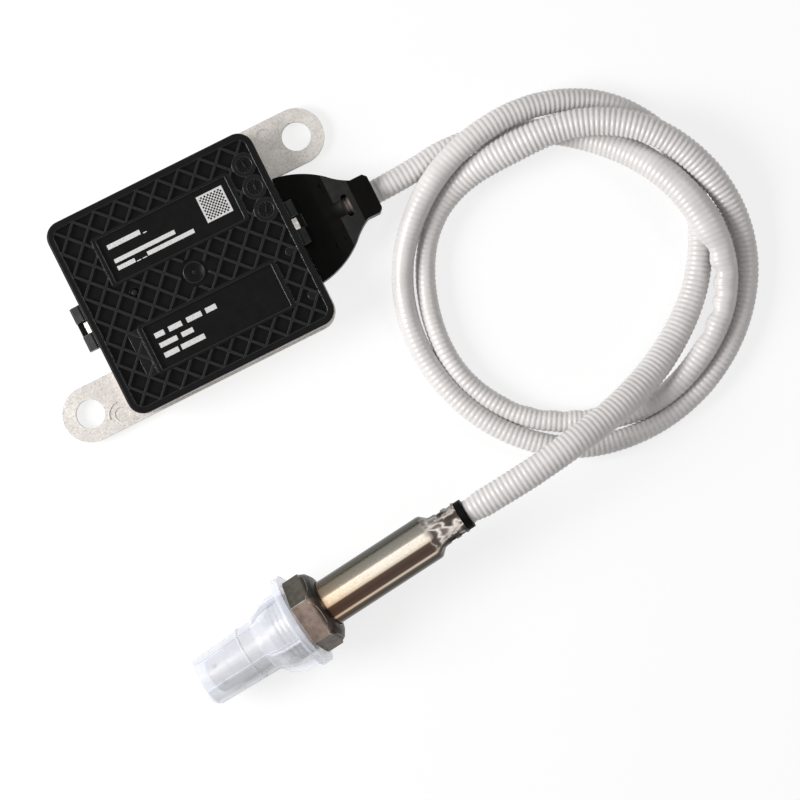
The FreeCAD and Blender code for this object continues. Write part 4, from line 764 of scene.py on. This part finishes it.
class SENSOR_OT_thread(bpy.types.Operator):
    """Cuts the look of the thread onto the union nut, where it shows through the cap"""
    bl_idname = "sensor.thread"
    bl_label = "Cut thread"

    def execute(self, context):
        pitch = context.scene.sensor_detail.thread_pitch / MM
        start, end = THREAD_SPAN
        steps = int(THREAD_SIDES * (end - start) / pitch)
        points = []
        for n in range(steps + 1):
            gone = n / THREAD_SIDES
            for share, radius in THREAD_SECTION:
                points.append(probe_point(start + pitch * (gone + share), radius, 2 * math.pi * gone))
        wide = len(THREAD_SECTION)
        faces = [(n * wide + k, n * wide + k + 1, (n + 1) * wide + k + 1, (n + 1) * wide + k)
                 for n in range(steps) for k in range(wide - 1)]
        steel = steel_finish("thread_steel", (0.5, 0.47, 0.43), 0.3)
        mesh_piece("nut_thread", points, faces, steel, "nut")
        return {"FINISHED"}


class SENSOR_OT_finishes(bpy.types.Operator):
    """Gives each CAD node its finish"""
    bl_idname = "sensor.finishes"
    bl_label = "Finish the solids"

    def execute(self, context):
        s = context.scene.sensor_finish
        cover = moulded_finish("cover_black", s.black, 0.3, 0.07, 0.3 * MM, 1.0, painted_rib_highlight=True)
        guide = moulded_finish("guide_black", s.guide, 0.34, 0.04, 0.2 * MM, 0.3)
        plastic = moulded_finish("guide_plate_grey", (0.36, 0.31, 0.29), 0.35)
        rubber = moulded_finish("black_rubber", (0.003, 0.003, 0.003), 0.5, 0.04)
        chip = moulded_finish("chip_black", (0.02, 0.02, 0.022), 0.6)
        lead = moulded_finish("lead_insulation", (0.62, 0.56, 0.55), 0.45)
        brass = steel_finish("contact_brass", (0.72, 0.56, 0.28), 0.3)
        turned_steel = steel_finish("turned_steel", (0.50, 0.46, 0.42), 0.32)
        ceramic = ceramic_finish("white_ceramic", (0.80, 0.78, 0.72))
        finishes = {
            cast_finish("cast_alloy", s.alloy): ["base_housing"],
            cover: ["cover"],
            guide: ["harness_guide", "vehicle_connector"],
            plastic: ["guide_plate"],
            rubber: ["cover_gasket", "probe_grommet"],
            moulded_finish("board_green", (0.02, 0.12, 0.05), 0.3): ["circuit_board"],
            chip: ["microcontroller", "signal_chip", "power_transistors"],
            steel_finish("can_metal", (0.7, 0.7, 0.72), 0.3): ["capacitors"],
            steel_finish("screw_steel", (0.55, 0.55, 0.56), 0.3): ["board_screws"],
            brass: ["connector_pins", "lead_terminals", "contact_springs"],
            moulded_finish("seal_silicone", (0.18, 0.07, 0.04), 0.55): ["wire_seal"],
            lead: ["sensor_leads", "probe_leads"],
            sleeve_finish("polished_steel", s.steel, s.tint): ["crimp_sleeve"],
            turned_steel: ["sensor_housing", "inner_shield", "outer_shield"],
            nut_finish("nut_steel", s.nut): ["union_nut"],
            ceramic: ["contact_holder", "sensing_element", "rear_ceramic", "front_ceramic"],
            ceramic_finish("powder_grey", (0.6, 0.58, 0.52)): ["powder_packing"],
            cap_finish("milky_cap", s.cap, s.cap_alpha): ["protective_cap"],
            hose_finish("hose_core", context.scene.sensor_hose.colour): ["corrugated_hose"],
        }
        for material, names in finishes.items():
            for name in names:
                for slot in NODES[name].material_slots:
                    slot.material = material
        return {"FINISHED"}


# Where the camera and the lamps stand, in metres: (name, place, size, share of the main lamp's power)
CAMERA_AT = (0.03976, -0.06269)
CAMERA_TURN = math.radians(-26.5)
LAMPS = (("key_lamp", (-0.72, 0.20, 0.60), 0.5, 1.0), ("fill_lamp", (0.65, 0.1, 0.8), 0.28, 0.12))
LAMPS_AIM = Vector((0.04, -0.06, 0))

# The table's half side in metres, and how much of its look to the camera is plain white
TABLE_REACH = 3.0
TABLE_WHITE = 0.78


class SENSOR_OT_studio(bpy.types.Operator):
    """Sets up the table, the lamps, the room light and the camera"""
    bl_idname = "sensor.studio"
    bl_label = "Build studio"

    def execute(self, context):
        s = context.scene.sensor_studio
        self.table(s)
        self.lamps(s)
        self.room(s)
        self.camera(s)
        context.scene.view_settings.view_transform = "Standard"
        return {"FINISHED"}

    def seen(self, nodes, links):
        """A socket that is 1 where the camera, a reflection or a view through something sees it."""
        path = nodes.new("ShaderNodeLightPath")
        total = path.outputs["Is Camera Ray"]
        for name in ("Is Glossy Ray", "Is Transmission Ray"):
            add = nodes.new("ShaderNodeMath")
            add.operation = "MAXIMUM"
            links.new(total, add.inputs[0])
            links.new(path.outputs[name], add.inputs[1])
            total = add.outputs[0]
        return total

    def table(self, s):
        """A wide pale table that looks white and keeps a light shadow of the sensor."""
        made = Finish("table_white", s.floor, 0.6)
        made.shader.inputs["Specular IOR Level"].default_value = 0.1
        nodes, links = made.nodes, made.links
        glow = made.node("ShaderNodeEmission", Strength=1.0)
        glow.inputs["Color"].default_value = (1, 1, 1, 1)
        share = made.node("ShaderNodeMath", operation="MULTIPLY")
        share.inputs[1].default_value = TABLE_WHITE
        links.new(self.seen(nodes, links), share.inputs[0])
        mix = nodes.new("ShaderNodeMixShader")
        links.new(share.outputs[0], mix.inputs["Fac"])
        links.new(made.shader.outputs[0], mix.inputs[1])
        links.new(glow.outputs[0], mix.inputs[2])
        links.new(mix.outputs[0], nodes["Material Output"].inputs["Surface"])
        r = TABLE_REACH
        mesh = bpy.data.meshes.new("table")
        mesh.from_pydata([(-r, -r, 0), (r, -r, 0), (r, r, 0), (-r, r, 0)], [], [(0, 1, 2, 3)])
        table = bpy.data.objects.new("table", mesh)
        bpy.context.scene.collection.objects.link(table)
        table.data.materials.append(made.material)

    def lamps(self, s):
        """A large soft lamp from one side and a weak one from the other."""
        for name, place, size, share in LAMPS:
            data = bpy.data.lights.new(name, "AREA")
            data.size = size
            data.energy = s.lamp * share
            lamp = bpy.data.objects.new(name, data)
            lamp.location = place
            lamp.rotation_euler = (LAMPS_AIM - Vector(place)).to_track_quat("-Z", "Y").to_euler()
            bpy.context.scene.collection.objects.link(lamp)

    def room(self, s):
        """Even room light, white where it is seen directly or mirrored."""
        world = bpy.data.worlds.new("room")
        bpy.context.scene.world = world
        world.use_nodes = True
        nodes, links = world.node_tree.nodes, world.node_tree.links
        back = nodes["Background"]
        back.inputs["Color"].default_value = (1, 1, 1, 1)
        strength = nodes.new("ShaderNodeMapRange")
        strength.inputs["To Min"].default_value = s.ambient
        strength.inputs["To Max"].default_value = 1.0
        links.new(self.seen(nodes, links), strength.inputs["Value"])
        links.new(strength.outputs["Result"], back.inputs["Strength"])

    def camera(self, s):
        """The camera straight over the table."""
        data = bpy.data.cameras.new("camera")
        data.lens = s.lens
        data.sensor_width = 36
        data.clip_start = 0.01
        camera = bpy.data.objects.new("camera", data)
        camera.location = (*CAMERA_AT, s.height)
        camera.rotation_euler = (0, 0, CAMERA_TURN)
        bpy.context.scene.collection.objects.link(camera)
        bpy.context.scene.camera = camera


SETTINGS = {"sensor_hose": HoseSettings, "sensor_print": PrintSettings, "sensor_detail": DetailSettings,
            "sensor_finish": FinishSettings, "sensor_studio": StudioSettings}
OPERATORS = (SENSOR_OT_hose, SENSOR_OT_print, SENSOR_OT_marks, SENSOR_OT_thread, SENSOR_OT_finishes,
             SENSOR_OT_studio)


class SENSOR_PT_panel(bpy.types.Panel):
    """Lists the sensor's pieces and their settings"""
    bl_idname = "SENSOR_PT_panel"
    bl_label = "Nitrogen oxide sensor"
    bl_space_type = "VIEW_3D"
    bl_region_type = "UI"
    bl_category = "Sensor"

    def draw(self, context):
        for key, group in SETTINGS.items():
            box = self.layout.box()
            for name in group.__annotations__:
                box.prop(getattr(context.scene, key), name)
        for operator in OPERATORS:
            self.layout.operator(operator.bl_idname)


def register():
    """Registers the settings, the operators and the panel."""
    for cls in (*SETTINGS.values(), *OPERATORS, SENSOR_PT_panel):
        bpy.utils.register_class(cls)
    for key, group in SETTINGS.items():
        setattr(bpy.types.Scene, key, PointerProperty(type=group))


def unregister():
    """Takes them away again."""
    for key in SETTINGS:
        delattr(bpy.types.Scene, key)
    for cls in reversed((*SETTINGS.values(), *OPERATORS, SENSOR_PT_panel)):
        bpy.utils.unregister_class(cls)


def main():
    """Builds the scene step by step."""
    register()
    bpy.ops.sensor.hose()
    bpy.ops.sensor.print()
    bpy.ops.sensor.marks()
    bpy.ops.sensor.thread()
    bpy.ops.sensor.finishes()
    bpy.ops.sensor.studio()


if __name__ == "__main__":
    main()
